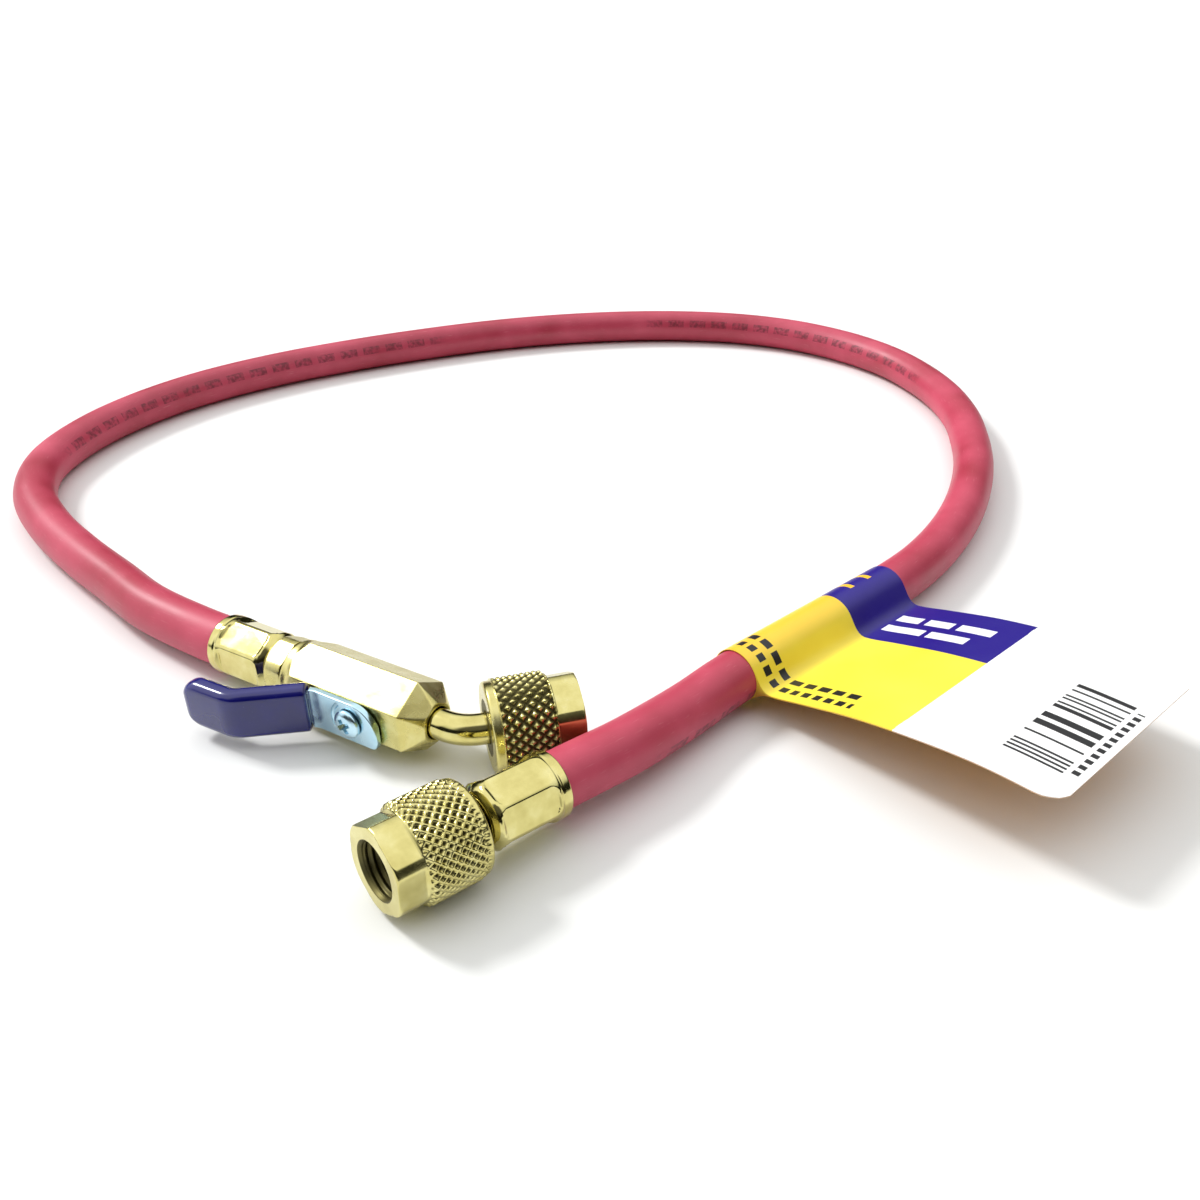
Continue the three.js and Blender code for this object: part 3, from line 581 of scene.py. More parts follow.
def flats_tree():
    """Six wrench flats between two ends, which may draw together towards a narrower tip."""
    tree, given, parts, radius, angle = start_tree("mill_flats", [
        "Across Flats", "Start", "End", "Over Radius", "Taper Start", "Taper End", "Tip Flats", "Softness"])
    fold = add(tree, "ShaderNodeMath", [angle, math.radians(30)], operation="PINGPONG")
    across = add(tree, "ShaderNodeMapRange", {
        "Value": parts["X"], "From Min": given["Taper Start"], "From Max": given["Taper End"],
        "To Min": given["Across Flats"], "To Max": given["Tip Flats"]})
    flat = add(tree, "ShaderNodeMath", [
        add(tree, "ShaderNodeMath", [across, 0.5], operation="MULTIPLY"),
        add(tree, "ShaderNodeMath", [fold], operation="COSINE")], operation="DIVIDE")
    milled = add(tree, "ShaderNodeMath", [radius, flat, given["Softness"]], operation="SMOOTH_MIN")
    after = add(tree, "ShaderNodeMath", [parts["X"], given["Start"]], operation="GREATER_THAN")
    before = add(tree, "ShaderNodeMath", [parts["X"], given["End"]], operation="LESS_THAN")
    outside = add(tree, "ShaderNodeMath", [radius, given["Over Radius"]], operation="GREATER_THAN")
    zone = add(tree, "ShaderNodeMath", [
        add(tree, "ShaderNodeMath", [after, before], operation="MULTIPLY"), outside], operation="MULTIPLY")
    new_radius = add(tree, "ShaderNodeMix", {"Factor": zone, "A": radius, "B": milled})
    end_tree(tree, given, parts, radius, new_radius)
    return tree


def thread_tree():
    """A screw thread cut into a bore."""
    tree, given, parts, radius, angle = start_tree("thread", [
        "Pitch", "Depth", "Start", "End", "Fade", "Under Radius"])
    turns = add(tree, "ShaderNodeMath", [angle, math.tau], operation="DIVIDE")
    phase = add(tree, "ShaderNodeMath", [
        add(tree, "ShaderNodeMath", [parts["X"], given["Pitch"]], operation="DIVIDE"),
        turns], operation="SUBTRACT")
    wave = add(tree, "ShaderNodeMath", [
        add(tree, "ShaderNodeMath", [phase, 0.5], operation="PINGPONG"), 2.0], operation="MULTIPLY")
    wave = add(tree, "ShaderNodeMath", [wave, 0.5], operation="SUBTRACT")
    zone = inside_run(tree, parts["X"], given["Start"], given["End"], given["Fade"])
    inside = add(tree, "ShaderNodeMath", [radius, given["Under Radius"]], operation="LESS_THAN")
    cut = add(tree, "ShaderNodeMath", [
        add(tree, "ShaderNodeMath", [wave, zone], operation="MULTIPLY"), inside], operation="MULTIPLY")
    new_radius = add(tree, "ShaderNodeMath", [
        radius, add(tree, "ShaderNodeMath", [cut, given["Depth"]], operation="MULTIPLY")], operation="ADD")
    end_tree(tree, given, parts, radius, new_radius)
    return tree


WALL_SLOPE = 1.6  # how fast a crimp's wall rises from its flat


def crimp_tree():
    """Six pressed flats with round corners and steep walls, as the jaws of a crimping press leave them."""
    tree, given, parts, radius, angle = start_tree("crimp", [
        "Flat Radius", "Half Width", "Start", "End", "Corner", "Over Radius", "Softness"])
    fold = add(tree, "ShaderNodeMath", [angle, math.radians(30)], operation="PINGPONG")
    middle = add(tree, "ShaderNodeMath", [
        add(tree, "ShaderNodeMath", [given["Start"], given["End"]], operation="ADD"),
        0.5], operation="MULTIPLY")
    half_length = add(tree, "ShaderNodeMath", [
        add(tree, "ShaderNodeMath", [given["End"], given["Start"]], operation="SUBTRACT"),
        0.5], operation="MULTIPLY")
    off = add(tree, "ShaderNodeMath", [
        add(tree, "ShaderNodeMath", [parts["X"], middle], operation="SUBTRACT")], operation="ABSOLUTE")
    off = add(tree, "ShaderNodeMath", [
        add(tree, "ShaderNodeMath", [off, given["Corner"]], operation="ADD"),
        half_length], operation="SUBTRACT")
    side = add(tree, "ShaderNodeMath", [
        radius, add(tree, "ShaderNodeMath", [fold], operation="SINE")], operation="MULTIPLY")
    side = add(tree, "ShaderNodeMath", [
        add(tree, "ShaderNodeMath", [side, given["Corner"]], operation="ADD"),
        given["Half Width"]], operation="SUBTRACT")
    corner = add(tree, "ShaderNodeCombineXYZ", {
        "X": add(tree, "ShaderNodeMath", [off, 0.0], operation="MAXIMUM"),
        "Y": add(tree, "ShaderNodeMath", [side, 0.0], operation="MAXIMUM")})
    out = add(tree, "ShaderNodeVectorMath", [corner], operation="LENGTH").outputs["Value"]
    out = add(tree, "ShaderNodeMath", [
        add(tree, "ShaderNodeMath", [out, given["Corner"]], operation="SUBTRACT"),
        0.0], operation="MAXIMUM")
    flat = add(tree, "ShaderNodeMath", [
        given["Flat Radius"], add(tree, "ShaderNodeMath", [fold], operation="COSINE")], operation="DIVIDE")
    flat = add(tree, "ShaderNodeMath", [
        flat, add(tree, "ShaderNodeMath", [out, WALL_SLOPE], operation="MULTIPLY")], operation="ADD")
    pressed = add(tree, "ShaderNodeMath", [radius, flat, given["Softness"]], operation="SMOOTH_MIN")
    outside = add(tree, "ShaderNodeMath", [radius, given["Over Radius"]], operation="GREATER_THAN")
    new_radius = add(tree, "ShaderNodeMix", {"Factor": outside, "A": radius, "B": pressed})
    end_tree(tree, given, parts, radius, new_radius)
    return tree


KNURL, FLATS, THREAD, CRIMP = knurl_tree(), flats_tree(), thread_tree(), crimp_tree()
PLAIN_NUMBERS = {"Teeth", "Raised"}  # the inputs that are counts or shares, and not millimetres
print("tools:", [tool.name for tool in (KNURL, FLATS, THREAD, CRIMP)])


def use_tree(piece, tree, material, sizes):
    """Runs a tool over a blank with sizes in millimetres, and keeps the result as its plain mesh."""
    modifier = piece.modifiers.new(tree.name, "NODES")
    modifier.node_group = tree
    for socket in tree.interface.items_tree:
        if socket.name in sizes:
            scale = 1 if socket.name in PLAIN_NUMBERS else MM
            modifier[socket.identifier] = float(sizes[socket.name] * scale)
        elif socket.name == "Finish":
            modifier[socket.identifier] = material
    bpy.context.view_layer.update()
    evaluated = piece.evaluated_get(bpy.context.evaluated_depsgraph_get())
    shaped = bpy.data.meshes.new_from_object(evaluated)
    piece.modifiers.remove(modifier)
    piece.data = shaped


# %% [markdown]
# ## Brass
# All the fittings are free-machining brass, a pale yellow metal that is hardly tarnished when it is new. One
# colour serves them all. What differs is how each surface was made: fine rings where a tool turned it, short
# strokes where a flat was milled, and a bright skin where the tube was drawn and the ferrules were pressed.
# The pits of the knurl get dirt and painted shade, and a nut's bore gets painted shade. The patterns use the
# place on the lathe that each point remembers.

# %% The brass finishes
PAINTED_SHADE_BORE_RADIUS = 5.75  # inside it a nut's bore is painted dark as shade, and rougher


def brass(name, ring_step, ring_depth, stroke_depth, roughness, groove_dirt_and_shade=0.0):
    """Brass with rings and strokes of given steps and depths, faint stains, and dirt with painted shade in any
    grooves and bores.
    """
    material, tree, output = new_material(name)
    place = add(tree, "ShaderNodeAttribute", attribute_name="lathe").outputs["Vector"]
    parts = add(tree, "ShaderNodeSeparateXYZ", [place]).outputs
    stain = add(tree, "ShaderNodeTexNoise", {"Vector": place, "Scale": 260.0, "Detail": 4.0})
    colour = add(tree, "ShaderNodeValToRGB", [stain], [
        (0.32, srgb("C6BB76")), (0.52, srgb("D3C984")), (0.72, srgb("DED698"))])
    squares = add(tree, "ShaderNodeMath", [
        add(tree, "ShaderNodeMath", [parts["Y"], 2.0], operation="POWER"),
        add(tree, "ShaderNodeMath", [parts["Z"], 2.0], operation="POWER")], operation="ADD")
    reach = add(tree, "ShaderNodeMath", [squares], operation="SQRT")
    lathe_place = add(tree, "ShaderNodeCombineXYZ", {
        "X": add(tree, "ShaderNodeMath", [parts["X"], ring_step * MM], operation="DIVIDE"),
        "Y": add(tree, "ShaderNodeMath", [reach, ring_step * MM], operation="DIVIDE")})
    rings = add(tree, "ShaderNodeTexNoise", {"Vector": lathe_place, "Scale": 1.0, "Detail": 2.0})
    strokes_place = add(tree, "ShaderNodeMapping", {"Vector": place, "Scale": (900.0, 5200.0, 5200.0)})
    strokes = add(tree, "ShaderNodeTexNoise", {"Vector": strokes_place, "Scale": 1.0, "Detail": 3.0})
    rough = add(tree, "ShaderNodeMapRange", {
        "Value": stain, "From Min": 0.3, "From Max": 0.7, "To Min": roughness * 0.8,
        "To Max": roughness * 1.35})
    if groove_dirt_and_shade > 0:
        # Dirt and painted shade: the knurl's grooves and a nut's bore are painted dark olive and made rougher.
        groove = add(tree, "ShaderNodeAttribute", attribute_name="groove").outputs["Fac"]
        dirt_and_shade_mask = add(tree, "ShaderNodeMapRange", {
            "Value": groove, "From Min": 0.18, "From Max": 0.62, "To Min": 0.0,
            "To Max": groove_dirt_and_shade}, interpolation_type="SMOOTHSTEP")
        in_bore = add(tree, "ShaderNodeMath", [reach, PAINTED_SHADE_BORE_RADIUS * MM], operation="LESS_THAN")
        dirt_and_shade_mask = add(tree, "ShaderNodeMath", [
            dirt_and_shade_mask, add(tree, "ShaderNodeMath", [in_bore, 0.8], operation="MULTIPLY")], operation="MAXIMUM")
        colour = add(tree, "ShaderNodeMix", {
            "Factor": dirt_and_shade_mask, "A": colour, "B": srgb("2C2713")}, data_type="RGBA")
        rough = add(tree, "ShaderNodeMath", [
            rough, add(tree, "ShaderNodeMath", [dirt_and_shade_mask, 0.35], operation="MULTIPLY")], operation="ADD")
    height = add(tree, "ShaderNodeMath", [
        add(tree, "ShaderNodeMath", [rings, ring_depth], operation="MULTIPLY"),
        add(tree, "ShaderNodeMath", [strokes, stroke_depth], operation="MULTIPLY")], operation="ADD")
    bump = add(tree, "ShaderNodeBump", {"Height": height, "Strength": 1.0, "Distance": MM})
    shader = add(tree, "ShaderNodeBsdfPrincipled", {
        "Base Color": colour, "Metallic": 1.0, "Roughness": rough, "Normal": bump})
    tree.links.new(shader.outputs[0], output.inputs["Surface"])
    return material


TURNED_STEP = 0.16  # the feed of the lathe, drawn a little coarse so that it shows
turned_brass = brass("turned_brass", TURNED_STEP, 0.010, 0.002, 0.20)
knurled_brass = brass("knurled_brass", TURNED_STEP, 0.006, 0.002, 0.20, groove_dirt_and_shade=0.95)
pyramid_brass = brass("knurled_brass_pyramids", TURNED_STEP, 0.006, 0.002, 0.22, groove_dirt_and_shade=0.9)
milled_brass = brass("milled_brass", 0.5, 0.001, 0.012, 0.26)
pressed_brass = brass("pressed_brass", 1.2, 0.012, 0.003, 0.11)
drawn_brass = brass("drawn_brass_tube", 0.9, 0.006, 0.002, 0.10)
brass_finishes = (turned_brass, knurled_brass, pyramid_brass, milled_brass, pressed_brass, drawn_brass)
print("brass finishes:", [finish.name for finish in brass_finishes])

# %% [markdown]
# ## The swivel nuts
# Each nut is turned, knurled for the fingers, milled to a hexagon at its mouth for a wrench, and threaded.
# So the same four steps make it here: the blank, the knurl, the flats and the thread. The two nuts came off
# different tools: the front one has crossed ridges with pits between them, and the bent tube's has pyramids.

# %% The two nuts
KNURL_RADIUS = 9.53
RIM_RADIUS = KNURL_RADIUS - 0.35
RIM_LENGTH = 1.8
KNURL_DEPTH = 0.85
COLLAR_START = NUT_LENGTH - 6.0
COLLAR_FLATS = 15.9
COLLAR_RADIUS = 8.65
THREAD_RADIUS = 5.3
THREAD_START = NUT_LENGTH - 13.0
THREAD_PITCH = 1.27  # twenty threads to the inch
THREAD_DEPTH = 0.62
NECK_RADIUS = 3.175
NUT_COLUMNS = 320
FINE, COARSE = 0.17, 0.5  # steps along a blank: under a knurl or thread, and on a plain run


def swivel_nut(name, finish, teeth, lead, raised, knurl_start):
    """A nut on its own line: the blank from the lathe, then its knurl, its flats and its thread."""
    hole = NECK_RADIUS + FIT
    nut = turned(name, [
        (0, hole, 0.3, COARSE), (0, RIM_RADIUS, 0.9, COARSE), (RIM_LENGTH, RIM_RADIUS, 0.1, 0.2),
        (RIM_LENGTH + 0.05, KNURL_RADIUS, 0.05, FINE), (COLLAR_START - 0.5, KNURL_RADIUS, 0.1, FINE),
        (COLLAR_START + 0.4, COLLAR_RADIUS, 0.05, 0.1), (COLLAR_START + 0.5, COLLAR_RADIUS, 0, COARSE),
        (NUT_LENGTH, COLLAR_RADIUS, 0.5, 0.4), (NUT_LENGTH, THREAD_RADIUS + 0.35, 0.1, 0.2),
        (NUT_LENGTH - 0.6, THREAD_RADIUS, 0.1, FINE), (THREAD_START, THREAD_RADIUS, 0.2, COARSE),
        (THREAD_START, hole, 0.2, 1.0),
    ], NUT_COLUMNS)
    use_tree(nut, KNURL, finish, {
        "Teeth": teeth, "Lead": lead, "Depth": KNURL_DEPTH, "Start": knurl_start, "End": COLLAR_START + 0.35,
        "Fade": 0.25, "Over Radius": 7.0, "Raised": raised})
    use_tree(nut, FLATS, finish, {
        "Across Flats": COLLAR_FLATS, "Start": COLLAR_START + 0.45, "End": NUT_LENGTH + 1,
        "Over Radius": 6.5, "Taper Start": NUT_LENGTH + 1, "Taper End": NUT_LENGTH + 2,
        "Tip Flats": COLLAR_FLATS, "Softness": 0.12})
    use_tree(nut, THREAD, finish, {
        "Pitch": THREAD_PITCH, "Depth": THREAD_DEPTH, "Start": THREAD_START + 0.6, "End": NUT_LENGTH - 0.7,
        "Fade": 0.6, "Under Radius": 5.6})
    return nut


front_nut = swivel_nut("front_swivel_nut", knurled_brass, 32, 1.95, 0, 1.0)
settle(front_nut, FRONT @ Matrix.Translation((NUT_BACK * MM, 0, 0)), "front_nut", "front_nut")
bent_nut = swivel_nut("bent_swivel_nut", pyramid_brass, 26, 2.4, 1, RIM_LENGTH + 0.2)
settle(bent_nut, BENT, "bent_nut", "bent_nut")

# %% [markdown]
# ## The ferrules
# A ferrule is a thin brass cup that a press squeezes on the hose with six jaws. The jaws leave six bright
# flats with round ends, and the metal between them stands up as ribs. The front one lies turned by 15
# degrees, so that one of its flats looks up at the camera.

# %% The two ferrules
FERRULE_RADIUS = 6.7
SHOULDER_RADIUS = 5.2
CRIMP_DEPTH = 0.72
CRIMP_START, CRIMP_END = 2.9, 14.5
CRIMP_HALF_WIDTH, CRIMP_CORNER = 3.15, 1.7
FERRULE_FLOOR = 3.0  # the thickness of the cup's floor, with the hole for the neck
HOSE_BORE = 1.5


def ferrule(name, roll):
    """A crimped cup on its own line, with a turned groove near its mouth, rolled by some degrees."""
    socket = HOSE_DIAMETER / 2 + FIT
    hole = NECK_RADIUS + FIT
    cup = turned(name, [
        (0, socket, 0.1, 0.3), (0, FERRULE_RADIUS, 0.4, 0.3), (1.5, FERRULE_RADIUS, 0.3, 0.2),
        (1.9, FERRULE_RADIUS - 0.14, 0.3, 0.2), (2.3, FERRULE_RADIUS, 0.3, 0.22),
        (FERRULE_LENGTH - 1.4, FERRULE_RADIUS, 0.9, 0.3), (FERRULE_LENGTH, SHOULDER_RADIUS, 0.4, 0.5),
        (FERRULE_LENGTH, hole, 0.2, 1), (FERRULE_LENGTH - FERRULE_FLOOR, hole, 0, 1),
        (FERRULE_LENGTH - FERRULE_FLOOR, HOSE_BORE, 0, 1), (SOCKET_DEPTH, HOSE_BORE, 0, 1),
        (SOCKET_DEPTH, socket, 0, 1)], 264)
    use_tree(cup, CRIMP, pressed_brass, {
        "Flat Radius": FERRULE_RADIUS - CRIMP_DEPTH, "Half Width": CRIMP_HALF_WIDTH, "Start": CRIMP_START,
        "End": CRIMP_END, "Corner": CRIMP_CORNER, "Over Radius": 5.6, "Softness": 0.16})
    cup.data.transform(Matrix.Rotation(math.radians(roll), 4, "X"))
    return cup


settle(ferrule("front_crimped_ferrule", 15), FRONT, "root", "front_ferrule")
settle(ferrule("valve_crimped_ferrule", 0), VALVE, "root", "valve_ferrule")

# %% [markdown]
# ## The neck, the adapter and the valve's body
# The front neck is a turned pin whose head holds the nut and carries a rubber seal. The valve end has a
# hexagonal adapter, screwed in the hexagonal body. The body is bar stock: its corners are turned down to a
# round shoulder at the hose end, and its flats draw together to a cone at the other.

# %% The brass bodies
BORE = 2.2
ROUND_COLUMNS = 96
FLANGE_RADIUS = 4.6
HEAD_RADIUS = 4.7
RECESS_RADIUS = 4.1
RECESS_DEPTH = 2.0
SEAT_DEPTH = 7.7  # from a nut's mouth down to the head's face
SEAL_HOLE, SEAL_PROUD = 1.9, 0.6


def head_corners(nut_start):
    """The corners of a neck's head inside a nut, from the shaft to the passage."""
    face = nut_start + NUT_LENGTH - SEAT_DEPTH
    back = nut_start + THREAD_START + FIT
    return [
        (back, NECK_RADIUS, 0.2, 0.5), (back + 1.5, HEAD_RADIUS, 0.3, 0.5), (face, HEAD_RADIUS, 0.2, 0.3),
        (face, RECESS_RADIUS, 0.1, 0.5), (face - RECESS_DEPTH, RECESS_RADIUS, 0, 0.5),
        (face - RECESS_DEPTH, BORE, 0.1, 2)]


def seal_corners(nut_start):
    """The corners of the rubber seal in a head's recess."""
    face = nut_start + NUT_LENGTH - SEAT_DEPTH
    low, high, outer = face - RECESS_DEPTH + FIT, face + SEAL_PROUD, RECESS_RADIUS - FIT
    return [
        (low, SEAL_HOLE, 0.1, 0.5), (low, outer, 0.1, 0.5), (high, outer, 0.5, 0.3),
        (high, SEAL_HOLE, 0.3, 0.5)]


flange = FERRULE_LENGTH + FIT
tail = FERRULE_LENGTH - FERRULE_FLOOR + FIT
neck = turned("front_turned_neck", [
    (tail, BORE, 0, 2), (tail, NECK_RADIUS, 0, 1), (flange, NECK_RADIUS, 0.05, 0.5),
    (flange, FLANGE_RADIUS, 0.25, 0.4), (flange + NECK_STANDOFF, FLANGE_RADIUS, 0.25, 0.4),
    (flange + NECK_STANDOFF, NECK_RADIUS, 0.1, 0.5), *head_corners(NUT_BACK),
], ROUND_COLUMNS)
settle(neck, FRONT, "root", "front_neck", turned_brass)

ADAPTER_FLATS = 12.7
ADAPTER_RADIUS, PLUG_RADIUS = 6.9, 4.8
PLUG_SHORT = 5.6  # how far the plug ends from the middle of the ball
hex_start = flange
hex_end = hex_start + ADAPTER_LENGTH
plug_end = STEM_X - PLUG_SHORT
adapter = turned("hexagonal_adapter", [
    (tail, BORE, 0, 2), (tail, NECK_RADIUS, 0, 1), (hex_start, NECK_RADIUS, 0, 0.5),
    (hex_start, 6.1, 0.1, 0.3), (hex_start + 0.9, ADAPTER_RADIUS, 0.3, 0.25),
    (hex_end, ADAPTER_RADIUS, 0.1, 0.3), (hex_end, PLUG_RADIUS, 0, 1), (plug_end, PLUG_RADIUS, 0, 1),
    (plug_end, BORE, 0, 2)], 192)
use_tree(adapter, FLATS, milled_brass, {
    "Across Flats": ADAPTER_FLATS, "Start": hex_start - 1, "End": hex_end + 1, "Over Radius": 5.2,
    "Taper Start": hex_end + 2, "Taper End": hex_end + 3, "Tip Flats": ADAPTER_FLATS, "Softness": 0.15})
settle(adapter, VALVE, "root", "valve_adapter")

BODY_LENGTH = 37.0
BODY_END = BODY_START + BODY_LENGTH
BODY_FLATS = 14.3
CONE_LENGTH, TIP_FLATS = 4.1, 8.0
SHOULDER_END, BODY_SHOULDER = 2.2, 7.05
BODY_THREAD, BALL_CHAMBER = 5.1, 5.3  # the hole for the adapter's plug, and half the chamber's length
TUBE_SOCKET = 4.5
body_corner = BODY_FLATS / 2 / math.cos(math.radians(30)) + 0.05
body = turned("hexagonal_valve_body", [
    (BODY_START, BODY_THREAD, 0.1, 0.4), (BODY_START, BODY_SHOULDER, 0.6, 0.3),
    (BODY_START + SHOULDER_END, BODY_SHOULDER, 0.8, 0.3), (BODY_START + 4.0, body_corner, 0.5, 0.6),
    (BODY_END - CONE_LENGTH, body_corner, 0.3, 0.25),
    (BODY_END, 4.2, 0.35, 0.3), (BODY_END, NECK_RADIUS + FIT, 0.1, 1),
    (BODY_END - TUBE_SOCKET, NECK_RADIUS + FIT, 0, 1), (BODY_END - TUBE_SOCKET, BORE, 0, 2),
    (STEM_X + BALL_CHAMBER, BORE, 0, 1), (STEM_X + BALL_CHAMBER, BODY_THREAD, 0, 2),
], 288)
use_tree(body, FLATS, milled_brass, {
    "Across Flats": BODY_FLATS, "Start": BODY_START - 1, "End": BODY_END + 1, "Over Radius": 3.9,
    "Taper Start": BODY_END - CONE_LENGTH, "Taper End": BODY_END, "Tip Flats": TIP_FLATS, "Softness": 0.16})


def cut_out(piece, cutter):
    """Cuts a shape out of a piece, and throws the cutter away."""
    modifier = piece.modifiers.new("cut", "BOOLEAN")
    modifier.object = cutter
    modifier.operation = "DIFFERENCE"
    modifier.solver = "EXACT"
    bpy.context.view_layer.update()
    evaluated = piece.evaluated_get(bpy.context.evaluated_depsgraph_get())
    cut = bpy.data.meshes.new_from_object(evaluated)
    piece.modifiers.remove(modifier)
    piece.data = cut
    bpy.data.objects.remove(cutter)


def aside(x):
    """Turns a piece made along x so that it points along -y, at a place on the valve's line."""
    return Matrix.Translation((x * MM, 0, 0)) @ Matrix.Rotation(math.radians(-90), 4, "Z")


STEM_HOLE_RADIUS = 2.9
STEM_HOLE_FROM, STEM_HOLE_TO = 4.5, 9.0  # from the valve's line, the second just past its flat
POINT = 0.01  # the radius that closes a turned piece on its own axis
stem_hole = turned("stem_hole", [
    (STEM_HOLE_FROM, POINT, 0, 9), (STEM_HOLE_FROM, STEM_HOLE_RADIUS, 0, 9),
    (STEM_HOLE_TO, STEM_HOLE_RADIUS, 0, 9), (STEM_HOLE_TO, POINT, 0, 9)], 48)
stem_hole.data.transform(aside(STEM_X))
cut_out(body, stem_hole)
settle(body, VALVE, "root", "valve_body")

# %% [markdown]
# ## The bent tube
# The tube leaves the body straight, bends through 48 degrees and ends in a head inside the nut. It is one
# drawn tube, so it is one sweep: the same outline as a turned piece, but led round the bend.

# %% The bent tube and its nut's parts
TUBE_LEAD = 2.0
TUBE_BEND = 9.5
NUT_GAP = 0.6
bend_start = BODY_END + TUBE_LEAD
bend_end = bend_start + TUBE_BEND * BEND


def tube_way(x):
    """The centre and the side directions of the bent tube, x being the distance along it."""
    angle = min(max(x - bend_start, 0) / TUBE_BEND, BEND)
    ahead = Vector((math.cos(angle), math.sin(angle), 0))
    start = Vector((min(x, bend_start), 0, 0))
    bent = Vector((TUBE_BEND * math.sin(angle), TUBE_BEND * (1 - math.cos(angle)), 0))
    return start + bent + ahead * max(x - bend_end, 0), Vector((-ahead.y, ahead.x, 0)), Vector((0, 0, 1))


tube_start = BODY_END - TUBE_SOCKET + FIT
tube = turned("bent_brass_tube", [
    (tube_start, BORE, 0.1, 0.4), (tube_start, NECK_RADIUS, 0.2, 0.4),
    *[(x, radius, rounding, 0.4) for x, radius, rounding, _ in head_corners(bend_end + NUT_GAP)],
], ROUND_COLUMNS, tube_way)
settle(tube, VALVE, "root", "bent_tube", drawn_brass)

# %% [markdown]
# ## Rubber, seat plastic, steel and vinyl
# The seals are black rubber, and the rings round the ball are white fluoroplastic. The lever is zinc-plated
# steel, whose bright skin is a little blue and cloudy. Its grip was dipped in hot liquid vinyl, so it has a
# thick glossy skin without a parting line, and round edges everywhere. The ball, its stem, the two rings and
# the core depressor keep their plain solids, because they are hidden, and get finishes all the same.

# %% The other finishes
def plain_finish(name, dark, light, metallic, roughness, grain, depth):
    """A finish with a slow mottle between two colours, a fine grain, and uneven gloss."""
    material, tree, output = new_material(name)
    place = add(tree, "ShaderNodeTexCoord").outputs["Object"]
    mottle = add(tree, "ShaderNodeTexNoise", {"Vector": place, "Scale": 180.0, "Detail": 4.0})
    colour = add(tree, "ShaderNodeValToRGB", [mottle], [(0.3, srgb(dark)), (0.7, srgb(light))])
    fine = add(tree, "ShaderNodeTexNoise", {"Vector": place, "Scale": grain, "Detail": 3.0})
    rough = add(tree, "ShaderNodeMapRange", {
        "Value": mottle, "From Min": 0.3, "From Max": 0.7, "To Min": roughness * 0.75,
        "To Max": roughness * 1.3})
    bump = add(tree, "ShaderNodeBump", {"Height": fine, "Strength": 1.0, "Distance": depth * MM})
    shader = add(tree, "ShaderNodeBsdfPrincipled", {
        "Base Color": colour, "Metallic": metallic, "Roughness": rough, "Normal": bump})
    tree.links.new(shader.outputs[0], output.inputs["Surface"])
    return material


black_rubber = plain_finish("black_seal_rubber", "121214", "26262A", 0.0, 0.6, 2400.0, 0.02)
seat_plastic = plain_finish("white_seat_fluoroplastic", "E4E2D8", "F4F3EE", 0.0, 0.45, 1500.0, 0.004)
plated_steel = plain_finish("zinc_plated_steel", "B0D4E6", "D2EEFA", 1.0, 0.24, 1100.0, 0.004)
chromed_steel = plain_finish("chromed_ball_steel", "C4C8CC", "DADEE0", 1.0, 0.12, 900.0, 0.001)

front_ring = turned("front_seal_ring", seal_corners(NUT_BACK), ROUND_COLUMNS)
settle(front_ring, FRONT, "root", "front_seal", black_rubber)
bent_ring = turned("bent_seal_ring", seal_corners(0), ROUND_COLUMNS)
settle(bent_ring, BENT, "root", "bent_seal", black_rubber)

hidden_finishes = {
    "valve_ball": chromed_steel, "valve_stem": turned_brass, "core_depressor": turned_brass,
    "hose_side_seat": seat_plastic, "tube_side_seat": seat_plastic,
}
for node, finish in hidden_finishes.items():
    frame["nodes"][node].data.materials.clear()
    frame["nodes"][node].data.materials.append(finish)
print("hidden nodes with a finish:", len(hidden_finishes))

# %% [markdown]
# ## The lever
# The steel is one stamped strip: a rounded tongue that lies on the body's flat, bent out and back to clear
# the ferrule, and on into the grip. It is lofted: thin rounded rectangles stand along the strip's line, each
# as high as the tongue is there, so the stamped edges come out rolled. A bent round tool then presses the
# short arc beside the screw.

# %% Lofting along the lever's line
PLATE_THICKNESS = 1.5
PLATE_OUTER = BODY_FLATS / 2 + FIT + PLATE_THICKNESS
PLATE_MIDDLE = PLATE_OUTER - PLATE_THICKNESS / 2
PLATE_END = STEM_X + 6.8
GRIP_MOUTH = STEM_X - 10.8
LEVER_STEP = 0.35
LEVER_BEND = 5.0
BEND_STEPS, CORNER_STEPS = 12, 8
FIRST_BEND = Vector((STEM_X - 10, -PLATE_MIDDLE))
SECOND_BEND = Vector((STEM_X - 22.4, -PLATE_MIDDLE - 10.2))
CLEAR_OF_BODY = -BODY_FLATS / 2 - 0.2  # nothing of the lever comes nearer to the valve's line than this


def lever_way(corners, rounding, step):
    """Even points along the lever's line, each bend drawn as a curve."""
    line = [corners[0]]
    for before, here, after in zip(corners, corners[1:], corners[2:]):
        half = (before - here).angle(after - here) / 2
        reach = min(rounding / math.tan(half), (before - here).length * 0.48)
        start = here + (before - here).normalized() * reach
        end = here + (after - here).normalized() * reach
        shares = [i / BEND_STEPS for i in range(BEND_STEPS + 1)]
        line += [start.lerp(here, t).lerp(here.lerp(end, t), t) for t in shares]
    line.append(corners[-1])
    lengths = [(b - a).length for a, b in zip(line, line[1:])]
    total, even = sum(lengths), []
    count = round(total / step)
    for k in range(count + 1):
        want, i = total * k / count, 0
        while i < len(lengths) - 1 and want > lengths[i]:
            want -= lengths[i]
            i += 1
        even.append(line[i].lerp(line[i + 1], min(want / lengths[i], 1)))
    return even


